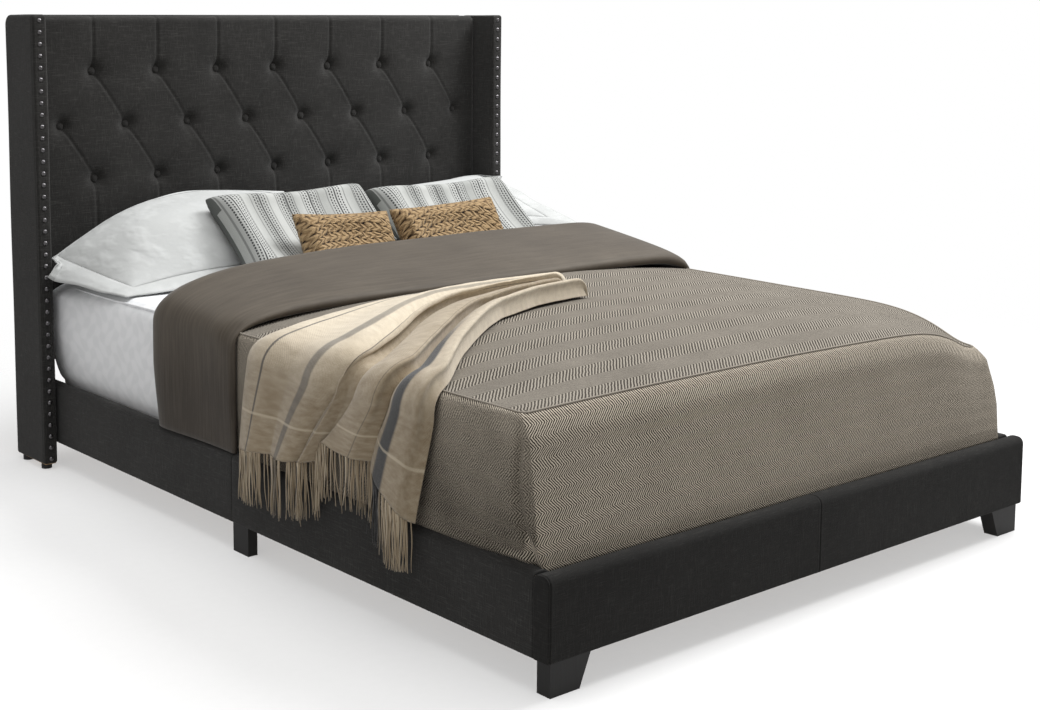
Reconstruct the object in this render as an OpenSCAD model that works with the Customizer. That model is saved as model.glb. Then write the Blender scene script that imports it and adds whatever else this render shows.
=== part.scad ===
// Queen-size upholstered bed with a winged, button-tufted headboard, made up with its bedding.
// Millimetres. X runs across the bed, +Y towards the headboard and +Z up.
// The origin is on the floor, under the centre of the overall box.

/* [Mattress] */
// Width of the mattress
mattress_w = 1524; // [1370:1:1930]
// Length of the mattress
mattress_l = 2032; // [1880:1:2200]
// Thickness of the mattress with its sheet
mattress_t = 320; // [260:1:360]
// Radius of the mattress's upright corners
mattress_r = 45; // [20:1:80]
// Thickness allowed for the fitted sheet
sheet_t = 4; // [2:0.5:8]
// Clearance between the mattress and the slats
mattress_clear = 0.5; // [0.3:0.1:2]

/* [Rails and footboard] */
// Height of the legs, floor to rail
leg_h = 70; // [50:1:160]
// Height of the upholstered rails
rail_h = 170; // [150:1:260]
// Thickness of the upholstered rails
rail_t = 44; // [38:1:70]
// Padding and cloth over the rail boards
pad_t = 6; // [3:0.5:9]
// Roundness of the padded top edges
edge_r = 16; // [8:1:18]
// Gap from the mattress's side to the rail
rail_gap = 9; // [5:1:40]
// Gap from the mattress's foot to the footboard
foot_gap = 31; // [20:1:60]
// Gap from the mattress's head to the headboard
head_gap = 20; // [10:1:60]

/* [Legs] */
// Width of a foot leg where it meets the footboard
leg_top_w = 108; // [90:1:160]
// Width of a foot leg at the floor
leg_low_w = 78; // [50:1:90]
// Foot leg's setback from the footboard's end
leg_set_x = 12; // [4:1:30]
// Foot leg's setback from the footboard's front
leg_set_y = 7; // [3:1:7]
// Length of a mid leg along the rail
mid_leg_l = 66; // [40:1:100]
// Thickness of a mid leg
mid_leg_t = 26; // [20:1:32]
// Mid leg's setback from the rail's outer face
mid_leg_set = 3; // [2:1:8]

/* [Headboard] */
// Height of the headboard
head_h = 1290; // [1050:1:1500]
// Thickness of the tufted panel, back cloth to front
panel_t = 78; // [66:1:120]
// Height of the panel's lower edge
panel_low = 300; // [260:1:400]
// Thickness of the upholstery cloth and wadding on the headboard
cover_t = 4; // [2:0.5:6]
// Thickness of the tufting board
board_t = 9; // [6:1:15]
// Thickness of the headboard's timbers
post_t = 30; // [24:1:40]
// Width of the two uprights
post_w = 70; // [50:1:80]
// Height of the top and bottom timbers
cross_h = 60; // [40:1:80]
// Thickness of the back cloth
cloth_t = 2; // [1:0.5:3]
// Gap under the uprights
post_low = 40; // [20:1:60]

/* [Wings] */
// Thickness of a wing
wing_t = 42; // [34:1:60]
// How far a wing reaches past the panel's front
wing_reach = 105; // [60:1:180]
// Gap from a wing's inner face to the rail's outer face
wing_gap = 9; // [4:1:20]
// Padding and cloth over a wing's frame
wing_pad = 5; // [3:0.5:8]
// Radius of a wing's top back corner
wing_r = 30; // [10:1:60]
// Height of the wing's glides
glide_h = 16; // [8:1:30]
// Radius of the wing's glides
glide_r = 15; // [10:1:17]
// Glide centre to the wing's front or back face
glide_in = 32; // [24:1:60]

/* [Buttons and nails] */
// Distance between buttons along a row
button_pitch = 210.4; // [170:0.2:225]
// Distance between rows of buttons
row_pitch = 156.5; // [120:0.5:180]
// Top row of buttons below the headboard's top
top_row = 163; // [120:1:200]
// Buttons in the top row
button_n = 7; // [5:2:7]
// Radius of a covered button
button_r = 13; // [9:0.5:16]
// Depth at which a button seats in the foam
button_deep = 16; // [8:1:22]
// Radius of a nailhead
nail_r = 6.5; // [4:0.5:8]
// Height of a nailhead's dome
nail_h = 4; // [2:0.5:6]
// Distance between nailheads
nail_pitch = 32.7; // [24:0.1:45]
// First and last nail to the wing's end
nail_end = 16; // [10:1:30]

/* [Slats] */
// Slat tops below the rail's top edge
slat_drop = 35; // [15:1:60]
// Number of slats
slat_n = 13; // [8:1:18]
// Width of a slat
slat_w = 68; // [50:1:90]
// Thickness of a slat
slat_t = 18; // [14:1:24]
// Clearance at each end of a slat
slat_clear = 4; // [2:1:8]
// Width of the ledge that the slats rest on
ledge_w = 30; // [20:1:40]
// Height of the ledge
ledge_h = 35; // [25:1:40]
// Width of the centre beam
beam_w = 30; // [24:1:45]
// Height of the centre beam
beam_h = 60; // [40:1:70]
// Side of a square centre leg
prop_w = 40; // [30:1:60]
// Number of centre legs
prop_n = 3; // [2:1:4]

/* [Fittings] */
// Thickness of the steel brackets
steel_t = 3; // [2:0.5:5]
// Length of a bracket's arm
bracket_l = 60; // [50:1:80]
// Height of the brackets and joiner plates
bracket_h = 50; // [40:1:56]
// Length of the plates that join the rail halves
joiner_l = 200; // [140:1:300]
// Radius of the frame bolts
bolt_r = 4; // [3:0.5:5]
// How deep a frame bolt goes into a board
bolt_deep = 22; // [15:1:26]

/* [Comforter] */
// Clearance of the comforter round the mattress
quilt_clear = 4; // [2:0.5:8]
// Thickness of the comforter's side drops
quilt_side = 44; // [20:1:50]
// Thickness of the comforter on top
quilt_top = 24; // [15:1:60]
// Height of the comforter's lower edge above the rail
quilt_lift = 4; // [2:1:20]
// Roundness of the comforter's long edges
quilt_r = 40; // [10:1:44]
// Distance from the headboard to the comforter's folded edge
fold_back = 640; // [560:1:900]
// Length of the folded-back band
band_l = 380; // [250:1:500]
// Thickness of the band on top
band_top = 70; // [30:1:90]
// How far the band stands out past the comforter's sides
band_side = 8; // [4:1:8]

/* [Throw] */
// Thickness of the throw
throw_t = 12; // [6:1:16]
// Where the throw's side starts, from the mattress's middle towards the foot
throw_near = 60; // [20:1:200]
// Length of the throw along the side of the bed
throw_side = 700; // [500:1:800]
// Reach of the throw's gathered end past the middle of the bed
throw_reach = 230; // [0:10:400]
// Width of the gathered end
throw_tip = 160; // [100:10:300]
// Drop of the throw's cloth below the comforter's top
throw_drop = 265; // [200:1:280]
// Length of the fringe
fringe_l = 135; // [80:1:140]
// Thickness of the fringe
fringe_t = 6; // [3:1:8]

/* [Shams and cushions] */
// Width of a pillow sham
sham_w = 808; // [600:1:808]
// Height of a sham, along its slope
sham_l = 415; // [350:1:460]
// Thickness of a sham
sham_t = 90; // [60:1:100]
// Slope of a sham above the level
sham_tilt = 32; // [20:0.5:35]
// Gap between the two shams
sham_gap = 16; // [8:1:40]
// Width of a striped cushion
striped_w = 558; // [450:1:560]
// Height of a striped cushion, along its slope
striped_l = 344; // [300:1:380]
// Thickness of a striped cushion
striped_t = 70; // [50:1:76]
// Slope of a striped cushion
striped_tilt = 40.5; // [38:0.5:44]
// Width of the left woven cushion
tan_left_w = 343; // [300:1:343]
// Width of the right woven cushion
tan_right_w = 414; // [350:1:414]
// Height of a woven cushion, along its slope
tan_l = 206; // [180:1:220]
// Thickness of a woven cushion
tan_t = 56; // [40:1:62]
// Slope of a woven cushion
tan_tilt = 60; // [54:1:64]

/* [Hidden] */
$fn = 48;
CUT = 1;            // how far a cutting shape runs past what it cuts
LEFT = -1;
RIGHT = 1;

// Across the bed
rail_in = mattress_w / 2 + rail_gap;
rail_out = rail_in + rail_t;
wing_in = rail_out + wing_gap;
wing_out = wing_in + wing_t;
wing_mid = wing_in + wing_t / 2;
post_in = wing_in - post_w;

// Along the bed
bed_l = rail_t + foot_gap + mattress_l + head_gap + panel_t;
y_foot = -bed_l / 2;
y_back = bed_l / 2;
y_foot_in = y_foot + rail_t;
y_panel = y_back - panel_t;
y_wing = y_panel - wing_reach;
y_post = y_back - cloth_t - post_t;
y_board = y_post - board_t;
y_joint = (y_foot_in + y_post) / 2;
y_mat_foot = y_foot_in + foot_gap;
y_mat_head = y_mat_foot + mattress_l;
y_mat_mid = (y_mat_foot + y_mat_head) / 2;

// Up
z_rail = leg_h + rail_h;
z_slat = z_rail - slat_drop;
z_beam = z_slat - slat_t;
z_ledge = z_beam - ledge_h;
z_mat = z_slat + mattress_clear;
z_bed = z_mat + mattress_t;
z_quilt = z_bed + sheet_t / 2;
z_quilt_top = z_quilt + quilt_top;
z_hem = z_rail + quilt_lift;

// Rail boards and headboard timbers
rail_board_h = rail_h - pad_t;
leg_d = rail_t - leg_set_y;             // a foot leg ends flush with the footboard's inner face
lower_rail_h = 90;
lower_rail_low = z_beam - lower_rail_h;

// Steel fittings sit just under the ledge
steel_gap = 2;
z_steel = z_ledge - steel_gap - bracket_h;
z_bolt = z_steel + bracket_h / 2;
bolt_head_r = 7;
bolt_head_h = 4;
bolt_ends = [20, 44];                   // bolt places along a bracket's arm
joiner_ends = [-75, -30, 30, 75];       // bolt places along a joiner plate
leg_bolt_up = 34;
leg_bolt_down = 30;
wing_bolt_l = 84;
wing_bolt_z = [200, 0.55 * head_h, head_h - 120];

// Beam, props and straps
prop_glide_r = 17;
prop_glide_h = 6;
strap_w = 30;
strap_t = 1.5;
strap_x = rail_in / 2;
first_slat = y_foot_in + 30;
last_slat = y_panel - 40 - slat_w;

// Buttons
tie_r = 1.5;
tie_clear = 1.5;
pocket_clear = 1.5;
button_base = 3;
button_dome = 6;
anchor_r = 11;
anchor_h = 3;
y_button = y_panel + button_deep;
z_row = head_h - top_row;

// Comforter and band
quilt_in = mattress_w / 2 + quilt_clear;
quilt_out = quilt_in + quilt_side;
y_fold = y_panel - fold_back;
y_quilt_foot = y_foot_in + 2;
quilt_foot_t = foot_gap - quilt_clear;

// Throw
throw_lie = 0.3;                        // clearance under the throw
throw_in = max(quilt_out, rail_out) + 3;
throw_out = throw_in + throw_t;
z_throw = z_quilt_top + throw_lie;
y_throw = y_mat_mid - throw_near;

// Shams and cushions: centre of the lower roll, measured from the headboard and the mattress
sham_from = 370;
sham_up = sham_t / 2 + 3;
striped_from = 502;
striped_up = striped_t / 2 + 10;
tan_from = 582;
tan_up = tan_t / 2 + 17;
striped_left_x = -150;
striped_right_x = 424;
tan_left_x = -113;
tan_right_x = 274;

// ---------- shared shapes ----------

// Upright block from one corner to the other, on the side given by s
module side_block(s, x0, x1, y0, y1, z0, z1) {
    translate([s > 0 ? x0 : -x1, y0, z0]) cube([x1 - x0, y1 - y0, z1 - z0]);
}

// Outline of a board with round corners, w by l, centred
module round_plan(w, l, r) {
    square([w - 2 * r, l], center = true);
    square([w, l - 2 * r], center = true);
    for (sx = [-1, 1], sy = [-1, 1]) translate([sx * (w / 2 - r), sy * (l / 2 - r)]) circle(r);
}

// Section of a padded rail: t across, h up, both top edges round
module rail_section(t, h, r) {
    square([t, h - r]);
    translate([r, 0]) square([t - 2 * r, h]);
    for (x = [r, t - r]) translate([x, h - r]) circle(r);
}

// Section of cloth laid over a block: half width w, from z0 up to z1, top edges round
module drape_section(w, z0, z1, r) {
    translate([-w, z0]) square([2 * w, z1 - r - z0]);
    translate([r - w, z0]) square([2 * (w - r), z1 - z0]);
    for (s = [-1, 1]) translate([s * (w - r), z1 - r]) circle(r);
}

// Carries a section in X and Z along Y, from y0 to y1
module along_y(y0, y1) {
    translate([0, y1, 0]) rotate([90, 0, 0]) linear_extrude(y1 - y0) children();
}

// Carries a section in Y and Z along X, from x0 to x1
module along_x(x0, x1) {
    translate([x0, 0, 0]) rotate([90, 0, 90]) linear_extrude(x1 - x0) children();
}

// Low dome on the XY plane, base radius r, height h
module dome(r, h) {
    ball = (r * r + h * h) / (2 * h);
    intersection() {
        translate([0, 0, h - ball]) sphere(ball);
        translate([-r, -r, 0]) cube([2 * r, 2 * r, h]);
    }
}

// Pillow with round edges, w across and l along its slope, from its lower roll's centre
module pillow(x, from, up, w, l, t, tilt) {
    translate([x - w / 2, y_panel - from, z_bed + up]) rotate([90, 0, 90]) linear_extrude(w)
        rotate(tilt) {
            circle(t / 2);
            translate([0, -t / 2]) square([l - t, t]);
            translate([l - t, 0]) circle(t / 2);
        }
}

// ---------- headboard ----------

function row_z(row) = z_row - row * row_pitch;
function row_count(row) = button_n + row % 2;

module at_buttons() {
    for (row = [0:2], i = [0:row_count(row) - 1])
        translate([(i - (row_count(row) - 1) / 2) * button_pitch, 0, row_z(row)])
            rotate([90, 0, 0]) children();
}

module button_bores(r, y0, y1) {
    translate([0, y1, 0]) at_buttons() cylinder(r = r, h = y1 - y0);
}

module wing_bolt_shapes(s) {
    for (z = wing_bolt_z) translate([s * (wing_out - 18), y_post + post_t / 2, z])
        rotate([0, -90 * s, 0]) cylinder(r = bolt_r, h = wing_bolt_l);
}

module headboard_post(s) {
    color("burlywood") difference() {
        side_block(s, post_in, wing_in, y_post, y_post + post_t, post_low, head_h - cover_t);
        wing_bolt_shapes(s);
    }
}

module headboard_cross(z0, h) {
    color("burlywood") translate([-post_in, y_post, z0]) cube([2 * post_in, post_t, h]);
}

module headboard_lower_rail() {
    color("burlywood") difference() {
        headboard_cross(lower_rail_low, lower_rail_h);
        frame_bolt_shanks();
    }
}

module tufting_board() {
    color("tan") difference() {
        translate([-wing_in, y_board, panel_low]) cube([2 * wing_in, board_t, head_h - cover_t - panel_low]);
        button_bores(tie_r + tie_clear, y_board - CUT, y_post + CUT);
    }
}

module headboard_foam() {
    color("khaki") difference() {
        translate([-wing_in, y_panel + cover_t, panel_low])
            cube([2 * wing_in, y_board - y_panel - cover_t, head_h - cover_t - panel_low]);
        button_bores(button_r + pocket_clear, y_panel, y_button);
        button_bores(tie_r + tie_clear, y_panel, y_board + CUT);
    }
}

module headboard_cover() {
    color("dimgray") difference() {
        along_x(-wing_in, wing_in) {
            translate([y_panel, panel_low - cover_t]) square([cover_t, head_h - panel_low + cover_t]);
            translate([y_panel, head_h - cover_t]) square([panel_t - cloth_t, cover_t]);
            translate([y_panel, panel_low - cover_t]) square([y_post - y_panel, cover_t]);
        }
        button_bores(button_r + pocket_clear, y_panel - CUT, y_panel + cover_t + CUT);
    }
}

module headboard_back_cloth() {
    color("black") translate([-wing_in, y_back - cloth_t, panel_low])
        cube([2 * wing_in, cloth_t, head_h - panel_low]);
}

module tufting_buttons() {
    color("dimgray") translate([0, y_button, 0]) at_buttons() {
        cylinder(r = button_r, h = button_base);
        translate([0, 0, button_base]) dome(button_r, button_dome);
    }
}

module button_ties() {
    color("white") button_bores(tie_r, y_button, y_post);
}

module button_anchors() {
    color("gray") button_bores(anchor_r, y_post, y_post + anchor_h);
}

// ---------- wings ----------

// Side outline of a wing, drawn in by d all round but at its foot
module wing_outline(d) {
    r = wing_r - d;
    y0 = y_wing + d;
    y1 = y_back - d;
    z1 = head_h - d;
    translate([y0, glide_h]) square([y1 - y0, z1 - r - glide_h]);
    translate([y0, glide_h]) square([y1 - r - y0, z1 - glide_h]);
    translate([y1 - r, z1 - r]) circle(r);
}

module on_side(s, x0, x1) {
    along_x(s > 0 ? x0 : -x1, s > 0 ? x1 : -x0) children();
}

module wing_frame(s) {
    color("burlywood") difference() {
        on_side(s, wing_in + wing_pad, wing_out - wing_pad) wing_outline(wing_pad);
        wing_bolt_shapes(s);
    }
}

module wing_cover(s) {
    color("dimgray") difference() {
        on_side(s, wing_in, wing_out) wing_outline(0);
        on_side(s, wing_in + wing_pad, wing_out - wing_pad) union() {
            wing_outline(wing_pad);
            translate([y_wing + wing_pad, glide_h - CUT]) square([y_back - y_wing - 2 * wing_pad, 2 * CUT]);
        }
        wing_bolt_shapes(s);
    }
}

module wing_nails(s) {
    span = head_h - glide_h - 2 * nail_end;
    gaps = round(span / nail_pitch);
    color("silver") for (i = [0:gaps])
        translate([s * wing_mid, y_wing, glide_h + nail_end + i * span / gaps])
            rotate([90, 0, 0]) dome(nail_r, nail_h);
}

module wing_glides() {
    color("black") for (s = [LEFT, RIGHT], y = [y_wing + glide_in, y_back - glide_in])
        translate([s * wing_mid, y, 0]) cylinder(r = glide_r, h = glide_h);
}

module wing_bolts() {
    color("silver") for (s = [LEFT, RIGHT]) wing_bolt_shapes(s);
}

// ---------- rails and footboard ----------

// Bolts along X into a rail's board at distance y, and along Y into a board at x
module bolt(length, headed) {
    cylinder(r = bolt_r, h = length);
    if (headed) translate([0, 0, -bolt_head_h]) cylinder(r = bolt_head_r, h = bolt_head_h, $fn = 6);
}

module rail_bolt(s, y, headed) {
    translate([s * (rail_in - steel_t), y, z_bolt]) rotate([0, 90 * s, 0])
        bolt(steel_t + pad_t + bolt_deep, headed);
}

module frame_bolt_set(headed) {
    for (s = [LEFT, RIGHT]) {
        for (e = joiner_ends) rail_bolt(s, y_joint + e, headed);
        for (e = bolt_ends) {
            rail_bolt(s, y_foot_in + e, headed);
            rail_bolt(s, y_post - e, headed);
            translate([s * (rail_in - e), y_foot_in + steel_t, z_bolt]) rotate([90, 0, 0])
                bolt(steel_t + pad_t + bolt_deep, headed);
        }
        translate([s * (rail_in - bolt_ends[1]), y_post - steel_t, z_bolt]) rotate([-90, 0, 0])
            bolt(steel_t + bolt_deep, headed);
    }
}

module frame_bolt_shanks() {
    frame_bolt_set(false);
}

module frame_bolts() {
    color("silver") frame_bolt_set(true);
}

module leg_bolt_places() {
    for (s = [LEFT, RIGHT]) {
        translate([s * (rail_out - leg_set_x - leg_low_w / 2), y_foot + rail_t / 2, 0]) children();
        translate([s * (rail_out - mid_leg_set - mid_leg_t / 2), y_joint - mid_leg_l / 2, 0]) children();
    }
}

module leg_bolts() {
    color("silver") leg_bolt_places()
        translate([0, 0, leg_h - leg_bolt_down]) cylinder(r = bolt_r, h = leg_bolt_down + leg_bolt_up);
}

// Half a side rail: its place along the bed, from y0 to y1
function half_y(head) = head ? [y_joint, y_post] : [y_foot_in, y_joint];

module rail_board(s, head) {
    y = half_y(head);
    color("burlywood") difference() {
        side_block(s, rail_in + pad_t, rail_out - pad_t, y[0], y[1], leg_h, leg_h + rail_board_h);
        frame_bolt_shanks();
        leg_bolts();
    }
}

module rail_cover(s, head) {
    y = half_y(head);
    color("dimgray") difference() {
        along_y(y[0], y[1]) translate([s > 0 ? rail_in : -rail_out, leg_h])
            rail_section(rail_t, rail_h, edge_r);
        side_block(s, rail_in + pad_t, rail_out - pad_t, y[0] - CUT, y[1] + CUT,
            leg_h - CUT, leg_h + rail_board_h);
        frame_bolt_shanks();
    }
}

// Steel leaf against the rail's inner face, at the height of the fittings
module steel_block(s, x0, y0, y1) {
    side_block(s, x0, rail_in, y0, y1, z_steel, z_steel + bracket_h);
}

module rail_joiners() {
    color("gray") difference() {
        for (s = [LEFT, RIGHT])
            steel_block(s, rail_in - steel_t, y_joint - joiner_l / 2, y_joint + joiner_l / 2);
        frame_bolt_shanks();
    }
}

module footboard_board() {
    color("burlywood") difference() {
        translate([pad_t - rail_out, y_foot + pad_t, leg_h])
            cube([2 * (rail_out - pad_t), rail_t - 2 * pad_t, rail_board_h]);
        frame_bolt_shanks();
        leg_bolts();
    }
}

module footboard_cover() {
    color("dimgray") difference() {
        along_x(-rail_out, rail_out) translate([y_foot, leg_h]) rail_section(rail_t, rail_h, edge_r);
        translate([pad_t - rail_out, y_foot + pad_t, leg_h - CUT])
            cube([2 * (rail_out - pad_t), rail_t - 2 * pad_t, rail_board_h + CUT]);
        frame_bolt_shanks();
    }
}

module foot_leg(s) {
    color([0.1, 0.07, 0.06]) difference() {
        along_y(y_foot + leg_set_y, y_foot + leg_set_y + leg_d) mirror([s > 0 ? 1 : 0, 0])
            translate([leg_set_x - rail_out, 0])
                polygon([[0, 0], [leg_low_w, 0], [leg_top_w, leg_h], [0, leg_h]]);
        leg_bolts();
    }
}

module mid_leg(s) {
    x1 = rail_out - mid_leg_set;
    color([0.1, 0.07, 0.06]) difference() {
        side_block(s, x1 - mid_leg_t, x1, y_joint - mid_leg_l, y_joint, 0, leg_h);
        leg_bolts();
    }
}

module foot_brackets() {
    color("gray") difference() {
        for (s = [LEFT, RIGHT]) {
            steel_block(s, rail_in - steel_t, y_foot_in, y_foot_in + bracket_l);
            steel_block(s, rail_in - bracket_l, y_foot_in, y_foot_in + steel_t);
        }
        frame_bolt_shanks();
    }
}

module head_brackets() {
    color("gray") difference() {
        for (s = [LEFT, RIGHT]) {
            steel_block(s, rail_in - steel_t, y_post - bracket_l, y_post);
            steel_block(s, rail_in - bracket_l, y_post - steel_t, y_post);
        }
        frame_bolt_shanks();
    }
}

// ---------- slats ----------

module slat_ledge(s) {
    color("burlywood") side_block(s, rail_in - ledge_w, rail_in, y_foot_in, y_post, z_ledge, z_beam);
}

module centre_beam() {
    color("burlywood") translate([-beam_w / 2, y_foot_in + steel_t, z_beam - beam_h])
        cube([beam_w, y_post - y_foot_in - 2 * steel_t, beam_h]);
}

// U-shaped cups that carry the beam's two ends
module beam_brackets() {
    cup_l = 40;
    cup_h = beam_h - 10;
    low = z_beam - beam_h;
    color("gray") for (y = [y_foot_in, y_post]) difference() {
        inward = y < 0 ? 0 : -cup_l;
        translate([-beam_w / 2 - steel_t, y + inward, low - steel_t])
            cube([beam_w + 2 * steel_t, cup_l, cup_h + steel_t]);
        centre_beam();
    }
}

module at_props() {
    step = (y_post - y_foot_in) / (prop_n + 1);
    for (i = [1:prop_n]) translate([0, y_foot_in + i * step, 0]) children();
}

module centre_legs() {
    color("burlywood") at_props()
        translate([-prop_w / 2, -prop_w / 2, prop_glide_h])
            cube([prop_w, prop_w, z_beam - beam_h - prop_glide_h]);
}

module centre_leg_glides() {
    color("black") at_props() cylinder(r = prop_glide_r, h = prop_glide_h);
}

module slats() {
    step = (last_slat - first_slat) / (slat_n - 1);
    x = rail_in - slat_clear;
    color("wheat") for (i = [0:slat_n - 1])
        translate([-x, first_slat + i * step, z_beam]) cube([2 * x, slat_w, slat_t]);
}

module slat_straps() {
    color("white") for (s = [LEFT, RIGHT])
        translate([s * strap_x - strap_w / 2, first_slat, z_beam - strap_t])
            cube([strap_w, last_slat + slat_w - first_slat, strap_t]);
}

// ---------- bedding ----------

module mattress() {
    color("white") translate([0, y_mat_mid, z_mat]) linear_extrude(mattress_t - sheet_t)
        round_plan(mattress_w - 2 * sheet_t, mattress_l - 2 * sheet_t, mattress_r - sheet_t);
}

module fitted_sheet() {
    color("white") difference() {
        translate([0, y_mat_mid, z_mat]) linear_extrude(mattress_t)
            round_plan(mattress_w, mattress_l, mattress_r);
        translate([0, y_mat_mid, z_mat - CUT]) linear_extrude(mattress_t - sheet_t + CUT)
            round_plan(mattress_w - 2 * sheet_t, mattress_l - 2 * sheet_t, mattress_r - sheet_t);
    }
}

module comforter() {
    color([0.5, 0.47, 0.42]) {
        difference() {
            along_y(y_quilt_foot, y_fold) drape_section(quilt_out, z_hem, z_quilt_top, quilt_r);
            translate([-quilt_in, y_quilt_foot + quilt_foot_t, z_hem - CUT])
                cube([2 * quilt_in, y_fold - y_quilt_foot, z_quilt - z_hem + CUT]);
        }
    }
}

module comforter_turnback() {
    color([0.38, 0.34, 0.3]) difference() {
        along_y(y_fold - band_l, y_fold)
            drape_section(quilt_out + band_side, z_hem, z_quilt_top + band_top, quilt_r + band_side);
        along_y(y_fold - band_l - CUT, y_fold + CUT)
            drape_section(quilt_out, z_hem - CUT, z_quilt_top, quilt_r);
    }
}

module throw() {
    y_far = y_throw - throw_side;
    color([0.75, 0.68, 0.56]) {
        translate([0, 0, z_throw]) linear_extrude(throw_t) polygon([
            [-throw_out, y_throw], [throw_reach, y_throw], [throw_reach, y_throw - throw_tip],
            [-throw_out, y_far]
        ]);
        translate([-throw_out, y_far, z_throw - throw_drop])
            cube([throw_t, throw_side, throw_drop + throw_t]);
    }
}

module throw_fringe() {
    color([0.7, 0.63, 0.5])
        translate([-(throw_in + throw_out + fringe_t) / 2, y_throw - throw_side, z_throw - throw_drop])
            mirror([0, 0, 1]) cube([fringe_t, throw_side, fringe_l]);
}

module sham(s) {
    color("white") pillow(s * (sham_gap + sham_w) / 2, sham_from, sham_up, sham_w, sham_l, sham_t, sham_tilt);
}

module cushion_striped(x) {
    color("lightgray") pillow(x, striped_from, striped_up, striped_w, striped_l, striped_t, striped_tilt);
}

module cushion_tan(x, w) {
    color("peru") pillow(x, tan_from, tan_up, w, tan_l, tan_t, tan_tilt);
}

// ---------- what is drawn ----------

headboard_post(LEFT);  // headboard_post_left
headboard_post(RIGHT);  // headboard_post_right
headboard_cross(head_h - cover_t - cross_h, cross_h);  // headboard_top_rail
headboard_cross(panel_low, cross_h);  // headboard_bottom_rail
headboard_lower_rail();
tufting_board();
headboard_foam();
headboard_cover();
headboard_back_cloth();
tufting_buttons();
button_ties();
button_anchors();
wing_frame(LEFT);  // wing_frame_left
wing_frame(RIGHT);  // wing_frame_right
wing_cover(LEFT);  // wing_cover_left
wing_cover(RIGHT);  // wing_cover_right
wing_nails(LEFT);  // wing_nails_left
wing_nails(RIGHT);  // wing_nails_right
wing_glides();
wing_bolts();
rail_board(LEFT, true);  // rail_board_left_head
rail_board(LEFT, false);  // rail_board_left_foot
rail_board(RIGHT, true);  // rail_board_right_head
rail_board(RIGHT, false);  // rail_board_right_foot
rail_cover(LEFT, true);  // rail_cover_left_head
rail_cover(LEFT, false);  // rail_cover_left_foot
rail_cover(RIGHT, true);  // rail_cover_right_head
rail_cover(RIGHT, false);  // rail_cover_right_foot
rail_joiners();
footboard_board();
footboard_cover();
foot_leg(LEFT);  // foot_leg_left
foot_leg(RIGHT);  // foot_leg_right
mid_leg(LEFT);  // mid_leg_left
mid_leg(RIGHT);  // mid_leg_right
leg_bolts();
foot_brackets();
head_brackets();
frame_bolts();
slat_ledge(LEFT);  // slat_ledge_left
slat_ledge(RIGHT);  // slat_ledge_right
centre_beam();
beam_brackets();
centre_legs();
centre_leg_glides();
slats();
slat_straps();
mattress();
fitted_sheet();
comforter();
comforter_turnback();
throw();
throw_fringe();
sham(LEFT);  // sham_left
sham(RIGHT);  // sham_right
cushion_striped(striped_left_x);  // cushion_striped_left
cushion_striped(striped_right_x);  // cushion_striped_right
cushion_tan(tan_left_x, tan_left_w);  // cushion_tan_left
cushion_tan(tan_right_x, tan_right_w);  // cushion_tan_right
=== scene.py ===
# %% [markdown]
# # A winged, button-tufted bed, made up for the night
# The bed's frame, sizes and moving bodies come from its CAD model.
# This lesson dresses that frame: woven cloth, padding, folds, fringes and cushions.
# All lengths are in metres; X runs across the bed, +Y towards the headboard, +Z up.

# %% Load the frame
import math

import bmesh
import bpy
import numpy as np
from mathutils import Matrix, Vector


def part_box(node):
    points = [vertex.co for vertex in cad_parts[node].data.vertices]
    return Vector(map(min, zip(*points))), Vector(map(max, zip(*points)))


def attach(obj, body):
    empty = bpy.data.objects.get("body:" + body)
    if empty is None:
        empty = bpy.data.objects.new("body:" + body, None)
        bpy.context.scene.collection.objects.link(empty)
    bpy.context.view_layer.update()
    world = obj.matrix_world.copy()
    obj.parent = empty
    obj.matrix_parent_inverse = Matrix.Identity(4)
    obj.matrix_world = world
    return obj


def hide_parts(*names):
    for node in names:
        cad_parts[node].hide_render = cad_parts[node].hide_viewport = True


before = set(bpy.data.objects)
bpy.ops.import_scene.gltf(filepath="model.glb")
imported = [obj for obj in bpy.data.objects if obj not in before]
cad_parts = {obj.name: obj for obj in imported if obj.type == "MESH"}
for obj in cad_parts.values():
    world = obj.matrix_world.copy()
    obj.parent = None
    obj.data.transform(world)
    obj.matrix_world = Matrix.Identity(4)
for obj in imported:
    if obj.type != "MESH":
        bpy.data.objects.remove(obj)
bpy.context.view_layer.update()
MM = 0.001


# %% [markdown]
# ## Camera and studio
# The bed is looked at from its front left, from a standing eye's height.
# A small lens shift keeps the uprights from leaning much, as a product camera does.
# Soft, wide lights from above and from the right leave the left side a little darker.

# %% Camera
def make_camera(place, yaw, pitch, lens, shift):
    """Camera at place, turned yaw degrees from +Y towards +X and pitched down by pitch degrees."""
    data = bpy.data.cameras.new("camera")
    data.lens, data.sensor_width = lens, 36
    data.shift_x, data.shift_y = shift
    camera = bpy.data.objects.new("camera", data)
    camera.location = place
    camera.rotation_euler = (math.radians(90 - pitch), 0, -math.radians(yaw))
    bpy.context.collection.objects.link(camera)
    bpy.context.scene.camera = camera


make_camera((-2.810, -3.194, 1.281), yaw=38.71, pitch=6.84, lens=55.30, shift=(0.10, -0.14))
print("the camera stands at the bed's front left")


# %% Lights and world
def soft_light(name, place, target, size, power):
    """Square area light of that size at place, facing target."""
    data = bpy.data.lights.new(name, "AREA")
    data.size, data.energy = size, power
    lamp = bpy.data.objects.new(name, data)
    lamp.location = place
    away = np.array(place) - np.array(target)
    lamp.rotation_euler = (math.acos(away[2] / np.linalg.norm(away)), 0, math.atan2(away[0], -away[1]))
    bpy.context.collection.objects.link(lamp)


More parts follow.
